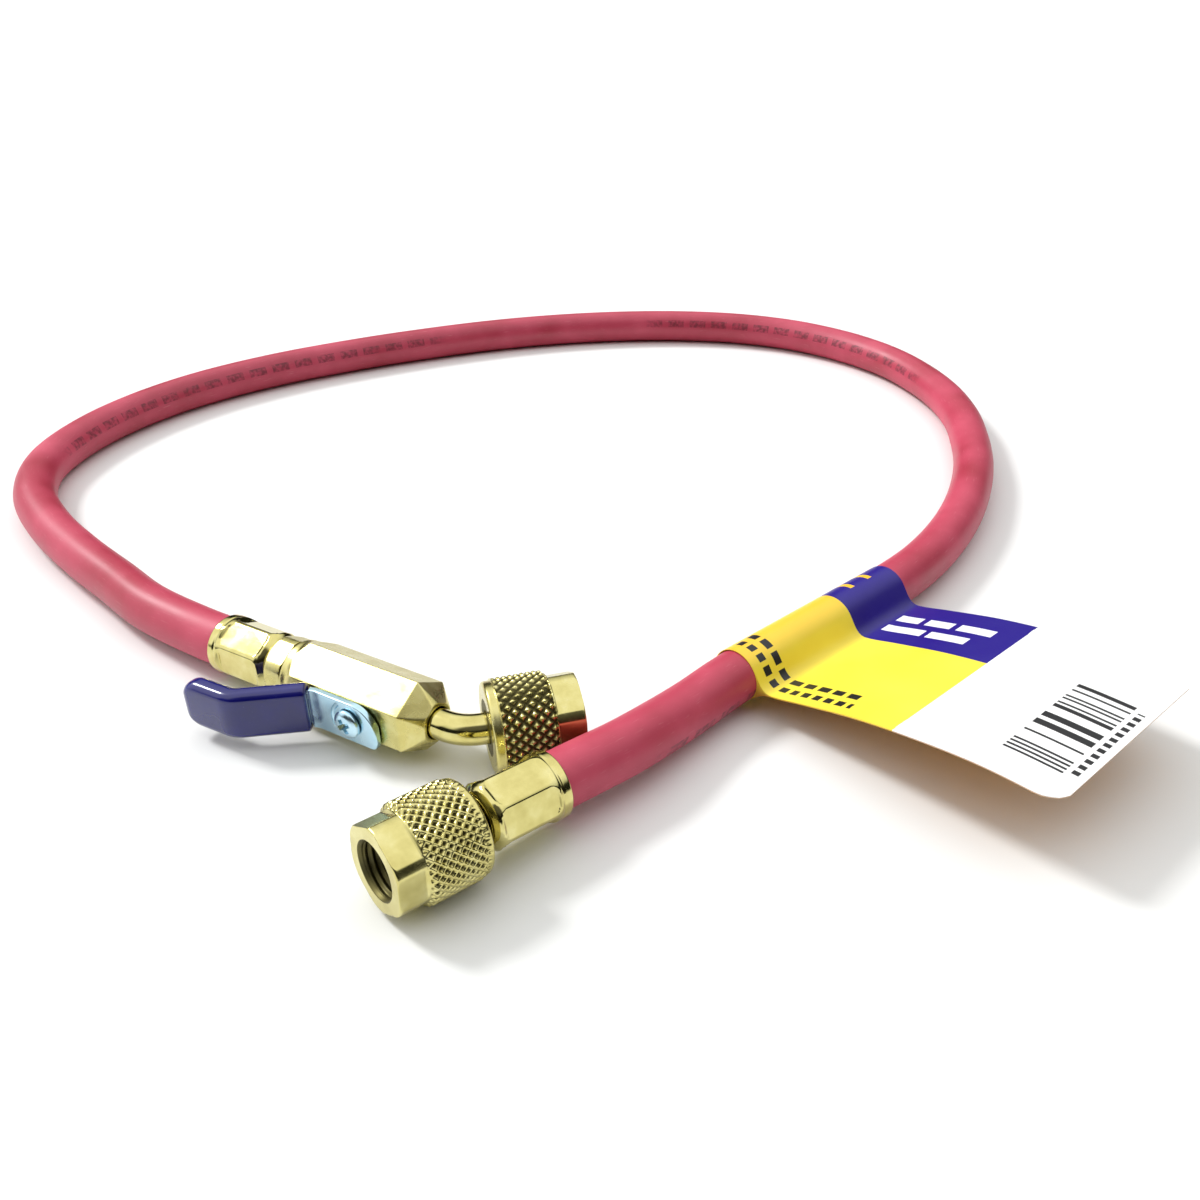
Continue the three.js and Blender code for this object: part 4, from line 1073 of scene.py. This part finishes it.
def rounded_section(half_out, half_high, edge, middle=0.0):
    """A rounded rectangle as (out, up) pairs, the same number of them for every size."""
    edge = min(edge, half_out, half_high)
    points = []
    for quarter, (a, b) in enumerate([(1, 1), (-1, 1), (-1, -1), (1, -1)]):
        for i in range(CORNER_STEPS + 1):
            turn = math.pi / 2 * (quarter + i / CORNER_STEPS)
            out = a * (half_out - edge) + edge * math.cos(turn)
            points.append((out, middle + b * (half_high - edge) + edge * math.sin(turn)))
        if quarter in (0, 2):
            low, high = a * (half_out - edge), -a * (half_out - edge)
            points += [(low + (high - low) * t, middle + b * half_high) for t in (0.33, 0.67)]
    return points


def loft(made, stations):
    """Rings on stations of (point, direction, section), joined by quads and kept clear of the body."""
    rings = []
    for point, ahead, section in stations:
        side = Vector((-ahead.y, ahead.x, 0))
        ring = []
        for out, up in section:
            place = Vector((point.x + side.x * out, min(point.y + side.y * out, CLEAR_OF_BODY), up))
            ring.append(made.verts.new(place * MM))
        rings.append(ring)
    for a, b in zip(rings, rings[1:]):
        for k in range(len(a)):
            m = (k + 1) % len(a)
            made.faces.new([a[k], a[m], b[m], b[k]])
    return rings


def tip_share(distance, radius):
    """How much of a rounding is still missing at a distance from the end."""
    left = max(radius - distance, 0)
    return radius - math.sqrt(max(radius * radius - left * left, 0))


def lofted(name, shells):
    """A closed piece from one lofted shell, or from two that are joined at their first rings."""
    made = bmesh.new()
    rings = [loft(made, stations) for stations in shells]
    for shell in rings:
        made.faces.new(shell[-1])
    if len(rings) == 1:
        made.faces.new(rings[0][0])
    else:
        outer, inner = rings[0][0], rings[1][0]
        for k in range(len(outer)):
            m = (k + 1) % len(outer)
            made.faces.new([outer[k], outer[m], inner[m], inner[k]])
    bmesh.ops.remove_doubles(made, verts=made.verts, dist=0.0005 * MM)
    bmesh.ops.recalc_face_normals(made, faces=made.faces)
    mesh = bpy.data.meshes.new(name)
    made.to_mesh(mesh)
    made.free()
    return new_piece(name, mesh, 50)


def ahead_at(line, i):
    """The direction of a line at its point i."""
    return (line[min(i + 1, len(line) - 1)] - line[max(i - 1, 0)]).normalized()


# %% The lever's plate
PLATE_TOP, PLATE_BOTTOM = 4.5, -4.7
HANDLE_HALF_HEIGHT = 3.7
PLATE_EDGE = 0.3
TONGUE_CORNER, HEEL_CORNER = 6.0, 1.6


def plate_span(x):
    """The lowest and highest point of the tongue at x, its free corners round and its handle narrower."""
    if x < GRIP_MOUTH + FIT:
        return -HANDLE_HALF_HEIGHT, HANDLE_HALF_HEIGHT
    to_end = PLATE_END - x
    return PLATE_BOTTOM + tip_share(to_end, HEEL_CORNER), PLATE_TOP - tip_share(to_end, TONGUE_CORNER)


plate_line = lever_way([
    Vector((PLATE_END, -PLATE_MIDDLE)), FIRST_BEND, SECOND_BEND,
    Vector((STEM_X - 33.2, -PLATE_MIDDLE - 10.75))], LEVER_BEND, LEVER_STEP)
plate_stations = []
for i, point in enumerate(plate_line):
    low, high = plate_span(point.x)
    thin = tip_share(min(i, len(plate_line) - 1 - i) * LEVER_STEP, PLATE_EDGE)
    section = rounded_section(PLATE_THICKNESS / 2 - thin, (high - low) / 2, PLATE_EDGE, (high + low) / 2)
    plate_stations.append((point, ahead_at(plate_line, i), section))
plate = lofted("lever_steel", [plate_stations])

ARC_RADIUS, ARC_TOOL = 4.35, 0.5
ARC_FROM, ARC_TO = math.radians(125), math.radians(205)


def arc_way(x):
    """The way of the pressing tool round the screw, x being the distance along it."""
    turn = ARC_FROM + x / ARC_RADIUS
    outward = Vector((math.cos(turn), 0, math.sin(turn)))
    return Vector((STEM_X, -PLATE_OUTER - 0.1, 0)) + outward * ARC_RADIUS, outward, Vector((0, 1, 0))


arc_end = ARC_RADIUS * (ARC_TO - ARC_FROM)
press = turned("arc_press", [
    (0, POINT, 0, 9), (0, ARC_TOOL, 0.2, 0.5), (arc_end, ARC_TOOL, 0.2, 0.5), (arc_end, POINT, 0, 9),
], 20, arc_way)
cut_out(plate, press)
plate.data.shade_smooth()
plate.data.set_sharp_from_angle(angle=math.radians(35))
settle(plate, VALVE, "lever", "lever_plate", plated_steel)

# %% [markdown]
# ## The vinyl grip
# The grip is a sleeve with one open end. It is lofted: rounded rectangles stand along the lever's line, and
# they shrink to a dome at the far end and a little at the mouth. A second, smaller loft inside it is the
# pocket that the steel fills.

# %% The grip
GRIP_HALF_HEIGHT, GRIP_HALF_THICKNESS = 5.4, 2.25
GRIP_TIP, GRIP_EDGE, GRIP_LIP = 4.4, 1.75, 0.6
POCKET_HALF_THICKNESS, POCKET_HALF_HEIGHT, POCKET_SHORT = 1.0, 3.95, 1.6
grip_line = [p for p in lever_way([
    Vector((STEM_X - 5, -PLATE_MIDDLE)), FIRST_BEND, SECOND_BEND,
    Vector((STEM_X - 35.2, -PLATE_MIDDLE - 10.8)),
], LEVER_BEND, LEVER_STEP) if p.x <= GRIP_MOUTH]
grip_length = LEVER_STEP * (len(grip_line) - 1)
outer_stations, pocket_stations = [], []
for i, point in enumerate(grip_line):
    from_mouth, to_tip = LEVER_STEP * i, grip_length - LEVER_STEP * i
    mouth = tip_share(from_mouth, GRIP_LIP)
    outer_stations.append((point, ahead_at(grip_line, i), rounded_section(
        GRIP_HALF_THICKNESS - tip_share(to_tip, GRIP_HALF_THICKNESS - 0.05) - mouth,
        GRIP_HALF_HEIGHT - tip_share(to_tip, GRIP_TIP) - mouth, GRIP_EDGE)))
    if to_tip > POCKET_SHORT:
        pocket = rounded_section(POCKET_HALF_THICKNESS, POCKET_HALF_HEIGHT, PLATE_EDGE)
        pocket_stations.append((point, ahead_at(grip_line, i), pocket))
grip = lofted("vinyl_grip", [outer_stations, pocket_stations])


def dipped_vinyl():
    """Thick glossy vinyl: deep blue, a clear even gloss, slow runs from dipping, and light rubbing."""
    material, tree, output = new_material("dipped_blue_vinyl")
    place = add(tree, "ShaderNodeTexCoord").outputs["Object"]
    slow = add(tree, "ShaderNodeTexNoise", {"Vector": place, "Scale": 120.0, "Detail": 2.0})
    colour = add(tree, "ShaderNodeValToRGB", [slow], [(0.3, srgb("0A0A60")), (0.7, srgb("101074"))])
    rub = add(tree, "ShaderNodeTexNoise", {"Vector": place, "Scale": 1400.0, "Detail": 5.0})
    lightened = add(tree, "ShaderNodeMapRange", {
        "Value": rub, "From Min": 0.66, "From Max": 0.8, "To Min": 0.0, "To Max": 0.3})
    rubbed = add(tree, "ShaderNodeMix", {
        "Factor": lightened, "A": colour, "B": srgb("4A4E8C")}, data_type="RGBA")
    rough = add(tree, "ShaderNodeMapRange", {
        "Value": slow, "From Min": 0.3, "From Max": 0.7, "To Min": 0.16, "To Max": 0.26})
    bump = add(tree, "ShaderNodeBump", {"Height": slow, "Strength": 1.0, "Distance": 0.12 * MM})
    shader = add(tree, "ShaderNodeBsdfPrincipled", {
        "Base Color": rubbed, "Roughness": rough, "Normal": bump, "IOR": 1.53, "Coat Weight": 0.35,
        "Coat Roughness": 0.05})
    tree.links.new(shader.outputs[0], output.inputs["Surface"])
    return material


settle(grip, VALVE, "lever", "lever_grip", dipped_vinyl())

# %% [markdown]
# ## The lever's screw
# A cross-head screw with a domed head. The head is turned, and two tapered wedges cut its recess.

# %% The screw
HEAD_HEIGHT = 1.5
SCREW_TOP = PLATE_OUTER + FIT + HEAD_HEIGHT
SHANK_RADIUS, SCREW_RADIUS = 1.25, 3.1
SHANK_END = PLATE_OUTER - 3.9
SCREW_POINT = 0.02
SLOT_HALF_LENGTH, SLOT_HALF_WIDTH = 1.9, 0.45
SLOT_LEVELS = [(SCREW_TOP - 1.3, 0.45, 0.8), (SCREW_TOP + 0.6, 1.15, 1.5)]  # height, and shares of the sizes
screw = turned("cross_head_screw", [
    (SHANK_END, SCREW_POINT, 0, 2), (SHANK_END, SHANK_RADIUS, 0.1, 1), (PLATE_OUTER + FIT, SHANK_RADIUS, 0, 1),
    (PLATE_OUTER + FIT, SCREW_RADIUS, 0.15, 0.5), (PLATE_OUTER + FIT + 0.7, SCREW_RADIUS, 0.4, 0.25),
    (SCREW_TOP - 0.15, 2.1, 0.6, 0.25), (SCREW_TOP, SCREW_POINT, 0, 0.5),
], 72)
for turn in (30, 120):
    wedge_mesh = bpy.data.meshes.new("wedge")
    wedge_corners = [
        Vector((x, a * SLOT_HALF_LENGTH * spread, b * SLOT_HALF_WIDTH * width)) * MM
        for x, spread, width in SLOT_LEVELS
        for a, b in ((-1, -1), (1, -1), (1, 1), (-1, 1))]
    wedge_mesh.from_pydata(wedge_corners, [], [
        (3, 2, 1, 0), (4, 5, 6, 7), (0, 1, 5, 4), (1, 2, 6, 5), (2, 3, 7, 6), (3, 0, 4, 7)])
    wedge_mesh.transform(Matrix.Rotation(math.radians(turn), 4, "X"))
    face_outward(wedge_mesh)
    wedge = bpy.data.objects.new("wedge", wedge_mesh)
    scene.collection.objects.link(wedge)
    cut_out(screw, wedge)
screw.data.transform(aside(STEM_X))
screw.data.shade_smooth()
screw.data.set_sharp_from_angle(angle=math.radians(35))
settle(screw, VALVE, "lever", "lever_screw", plated_steel)

# %% [markdown]
# ## The film tag
# The tag is one strip of printed film, folded round the hose and stuck to itself. Its cross-section is drawn
# once: in along the top ply, round the hose, and back out along the bottom ply. That line is repeated along
# the hose in rows, and near the tag's two sides the rows get shorter, which rounds the flag's corners. Each
# point remembers how far out and how far along it is, and the print is drawn from those two distances.

# %% The tag's section
TAG_START, TAG_WIDTH = 62.6, 54.0
TAG_AXIS = Vector((-37.18, 6.85))  # the hose's middle where the tag is: its y and its height
FILM_RADIUS, FILM_BORE = 5.98, 5.82
FLAG_HALF = 0.17
TAG_CORNER = 5.0
TAG_CURVE = [(3.0, 5.75), (9.5, 6.3), (18.0, 8.7), (30.0, 12.0), (43.0, 14.6), (57.0, 16.5), (72.5, 17.0)]
flag_line, flag_length = smooth_line([Vector((out, z, 0)) for out, z in TAG_CURVE], 0.25)


def on_flag(distance):
    """The point of the flag's middle line at a distance from its root, and the direction there."""
    i = min(max(round(distance / flag_length * (len(flag_line) - 1)), 1), len(flag_line) - 2)
    return flag_line[i].copy(), (flag_line[i + 1] - flag_line[i - 1]).normalized()


GLUED_FROM = 7.0  # where the two plies meet, along the flag's line
FLAG_STEPS, WEB_STEPS, RING_STEPS = 44, 12, 44
TOP_LEAVE, BOTTOM_LEAVE = math.radians(38), math.radians(-50)


def film_row(reach):
    """One row of the tag: points round the outside as (out, up, distance, under), and the bore's circle."""
    top, bottom = [], []
    for i in range(FLAG_STEPS + 1):
        distance = reach + (GLUED_FROM - reach) * i / FLAG_STEPS
        middle, ahead = on_flag(distance)
        up = Vector((-ahead.y, ahead.x, 0))
        top.append((*(middle + up * FLAG_HALF).xy, distance, 0.0))
        bottom.append((*(middle - up * FLAG_HALF).xy, distance, 1.0))
    webs = []
    for angle, side, points in ((TOP_LEAVE, 1, top), (BOTTOM_LEAVE, -1, bottom)):
        touch = Vector((FILM_RADIUS * math.cos(angle), TAG_AXIS.y + FILM_RADIUS * math.sin(angle)))
        away = Vector((math.sin(angle), -math.cos(angle))) * side
        near = Vector(points[-1][:2])
        ahead = on_flag(GLUED_FROM)[1].xy
        pull = (near - touch).length * 0.42
        controls = [near, near - ahead * pull, touch + away * pull, touch]
        web = []
        for i in range(1, WEB_STEPS + 1):
            t = i / WEB_STEPS
            place = (controls[0] * (1 - t) ** 3 + controls[1] * 3 * t * (1 - t) ** 2
                     + controls[2] * 3 * t * t * (1 - t) + controls[3] * t ** 3)
            distance = GLUED_FROM - (near - touch).length * t
            web.append((*place, distance, points[-1][3]))
        webs.append(web)
    ring = []
    turn_left = math.tau - (TOP_LEAVE - BOTTOM_LEAVE)
    for i in range(1, RING_STEPS):
        angle = TOP_LEAVE + turn_left * i / RING_STEPS
        place = (FILM_RADIUS * math.cos(angle), TAG_AXIS.y + FILM_RADIUS * math.sin(angle))
        ring.append((*place, webs[0][-1][2] - FILM_RADIUS * turn_left * i / RING_STEPS, 0.0))
    outside = top + webs[0] + ring + webs[1][::-1] + bottom[::-1]
    bore = []
    for i in range(RING_STEPS):
        angle = TOP_LEAVE + turn_left * i / (RING_STEPS - 1)
        bore.append((FILM_BORE * math.cos(angle), TAG_AXIS.y + FILM_BORE * math.sin(angle), 0.0, 0.0))
    for i in range(1, WEB_STEPS):
        angle = BOTTOM_LEAVE + (TOP_LEAVE - BOTTOM_LEAVE) * i / WEB_STEPS
        bore.append((FILM_BORE * math.cos(angle), TAG_AXIS.y + FILM_BORE * math.sin(angle), 0.0, 0.0))
    return outside, bore


# %% The tag's rows, joined
near_edge = [0, 0.15, 0.45, 0.9, 1.6, 2.5, 3.6, TAG_CORNER]  # rows stand closer where the corner rounds
MIDDLE_ROWS = 36
middle_step = (TAG_WIDTH - 2 * TAG_CORNER) / MIDDLE_ROWS
row_places = near_edge + [TAG_CORNER + middle_step * i for i in range(1, MIDDLE_ROWS)]
row_places += [TAG_WIDTH - v for v in near_edge[::-1]]
tag_build = bmesh.new()
film = tag_build.verts.layers.float_vector.new("film")
tag_rows = []
for along in row_places:
    from_edge = min(along, TAG_WIDTH - along)
    reach = flag_length - tip_share(from_edge, TAG_CORNER)
    loops = []
    for points in film_row(reach):
        loop = []
        for out, up, distance, under in points:
            vert = tag_build.verts.new(Vector((TAG_START + along, TAG_AXIS.x - out, up)) * MM)
            vert[film] = Vector((distance, along, under))
            loop.append(vert)
        loops.append(loop)
    tag_rows.append(loops)
for row, onward in zip(tag_rows, tag_rows[1:]):
    for here, there in zip(row, onward):
        for k in range(len(here)):
            m = (k + 1) % len(here)
            tag_build.faces.new([here[k], here[m], there[m], there[k]])
for outside, bore in (tag_rows[0], tag_rows[-1]):
    last = len(outside) - 1
    for i in range(FLAG_STEPS):
        tag_build.faces.new([outside[i], outside[i + 1], outside[last - i - 1], outside[last - i]])
    first_ring = FLAG_STEPS + WEB_STEPS
    for i in range(RING_STEPS - 1):
        tag_build.faces.new([
            outside[first_ring + i], outside[first_ring + i + 1], bore[i + 1], bore[i]])
    gusset = outside[FLAG_STEPS:first_ring + 1] + [bore[0]] + bore[:RING_STEPS - 1:-1]
    gusset += [bore[RING_STEPS - 1]] + outside[first_ring + RING_STEPS - 1:last - FLAG_STEPS + 1]
    tag_build.faces.new(gusset)
bmesh.ops.recalc_face_normals(tag_build, faces=tag_build.faces)
tag_mesh = bpy.data.meshes.new("printed_tag")
tag_build.to_mesh(tag_mesh)
tag_build.free()
tag = new_piece("printed_film_tag", tag_mesh, 35)


# %% The tag's print
def between(tree, value, low, high):
    """1 where a value lies between two sizes in millimetres."""
    centre, half = (low + high) / 2 * MM, (high - low) / 2 * MM
    return add(tree, "ShaderNodeMath", [value, centre, half], operation="COMPARE")


INK_END, BLUE_START = 36.8, 33.3
BAR_STEP, BAR_SHARE = 0.62, 0.52  # the width of one bar, and the share of them that stays white
TICK_STEP, TICK_LENGTH = 2.3, 1.3
DASH_ROWS = [(2.6, 4.6, 2.9), (6.4, 8.4, 3.7)]  # from and to along the hose, and the step between dashes
WHITE_BARS = [  # from and to outwards, then from and to along the hose
    (7, 13, 44.4, 47.6), (14.5, 21, 44.4, 47.6), (22.5, 31, 44.4, 47.6),
    (7, 17, 38.6, 41.8), (18.5, 28, 38.6, 41.8)]


def printed_film():
    """Printed film: flat inks on white, a soft gloss, plain bars where such a tag has its words, and painted
    shade: orange on the sleeve and tan on the bottom ply.
    """
    material, tree, output = new_material("printed_gloss_film")
    place = add(tree, "ShaderNodeAttribute", attribute_name="film").outputs["Vector"]
    parts = add(tree, "ShaderNodeSeparateXYZ", [place]).outputs
    out = add(tree, "ShaderNodeMath", [parts["X"], MM], operation="MULTIPLY")
    along = add(tree, "ShaderNodeMath", [parts["Y"], MM], operation="MULTIPLY")
    object_place = add(tree, "ShaderNodeTexCoord").outputs["Object"]
    cloud = add(tree, "ShaderNodeTexNoise", {"Vector": object_place, "Scale": 60.0, "Detail": 3.0})
    white = add(tree, "ShaderNodeValToRGB", [cloud], [(0.3, srgb("F6F6F4")), (0.7, srgb("FFFFFF"))])
    yellow = add(tree, "ShaderNodeValToRGB", [cloud], [(0.3, srgb("F8DE40")), (0.7, srgb("FFE94A"))])
    inked = add(tree, "ShaderNodeMath", [out, INK_END * MM], operation="LESS_THAN")
    bar_number = add(tree, "ShaderNodeMath", [
        add(tree, "ShaderNodeMath", [along, BAR_STEP * MM], operation="DIVIDE")], operation="FLOOR")
    line_code = add(
        tree, "ShaderNodeTexWhiteNoise", {"W": bar_number}, noise_dimensions="1D").outputs["Value"]
    bars = add(tree, "ShaderNodeMath", [
        add(tree, "ShaderNodeMath", [line_code, BAR_SHARE], operation="GREATER_THAN"),
        between(tree, out, 55, 66.5)], operation="MULTIPLY")
    bars = add(tree, "ShaderNodeMath", [bars, between(tree, along, 7, 37)], operation="MULTIPLY")
    tick_beat = add(tree, "ShaderNodeMath", [along, TICK_STEP * MM], operation="MODULO")
    ticks = add(tree, "ShaderNodeMath", [
        add(tree, "ShaderNodeMath", [tick_beat, TICK_LENGTH * MM], operation="LESS_THAN"),
        between(tree, out, 67.6, 69)], operation="MULTIPLY")
    ticks = add(tree, "ShaderNodeMath", [ticks, between(tree, along, 9, 35)], operation="MULTIPLY")
    dark_print = add(tree, "ShaderNodeMath", [bars, ticks], operation="MAXIMUM")
    for low, high, beat in DASH_ROWS:
        run = add(tree, "ShaderNodeMath", [
            add(tree, "ShaderNodeMath", [out, 60 * MM], operation="ADD"), beat * MM], operation="MODULO")
        dash = add(tree, "ShaderNodeMath", [run, (beat - 1.1) * MM], operation="LESS_THAN")
        dash = add(tree, "ShaderNodeMath", [dash, between(tree, along, low, high)], operation="MULTIPLY")
        dash = add(tree, "ShaderNodeMath", [dash, between(tree, out, -9, 25)], operation="MULTIPLY")
        dark_print = add(tree, "ShaderNodeMath", [dark_print, dash], operation="MAXIMUM")
    white_print = None
    for out_low, out_high, along_low, along_high in WHITE_BARS:
        across = between(tree, out, out_low, out_high)
        bar = add(tree, "ShaderNodeMath", [
            across, between(tree, along, along_low, along_high)], operation="MULTIPLY")
        white_print = bar if white_print is None else add(
            tree, "ShaderNodeMath", [white_print, bar], operation="MAXIMUM")
    stripes = add(tree, "ShaderNodeMath", [
        between(tree, along, 39.5, 41), between(tree, along, 46, 47.5)], operation="MAXIMUM")
    stripes = add(tree, "ShaderNodeMath", [stripes, between(tree, out, -14, -5)], operation="MULTIPLY")
    blue_band = add(tree, "ShaderNodeMath", [along, BLUE_START * MM], operation="GREATER_THAN")
    blue_ink = add(tree, "ShaderNodeMath", [inked, blue_band], operation="MULTIPLY")
    # Painted shade: the sleeve is painted orange near the flag's root, where it curves away from the light.
    shaded = add(tree, "ShaderNodeMath", [
        inside_run(tree, out, -13 * MM, 0.5 * MM, 5 * MM), 0.5], operation="MULTIPLY")
    layers = [
        (inked, yellow), (shaded, srgb("FFB02A")), (blue_ink, srgb("220C86")),
        (dark_print, srgb("16161A")), (white_print, srgb("F8F8FF")), (stripes, srgb("FFC62E")),
        # painted shade: the bottom ply is a tan, shaded copy of the yellow print, and its bounce tints the
        # floor under the flag
        (parts["Z"], srgb("C98F3C"))]
    colour = white
    for factor, ink in layers:
        colour = add(tree, "ShaderNodeMix", {"Factor": factor, "A": colour, "B": ink}, data_type="RGBA")
    crease = add(tree, "ShaderNodeTexNoise", {"Vector": object_place, "Scale": 90.0, "Detail": 2.0})
    bump = add(tree, "ShaderNodeBump", {"Height": crease, "Strength": 1.0, "Distance": 0.25 * MM})
    rough = add(tree, "ShaderNodeMapRange", {
        "Value": cloud, "From Min": 0.3, "From Max": 0.7, "To Min": 0.3, "To Max": 0.42})
    shader = add(tree, "ShaderNodeBsdfPrincipled", {
        "Base Color": colour, "Roughness": rough, "Normal": bump, "IOR": 1.5})
    tree.links.new(shader.outputs[0], output.inputs["Surface"])
    return material


tag.data.materials.append(printed_film())
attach(tag, "root")
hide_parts("label_tag")
print("tag:", len(tag.data.polygons), "faces")
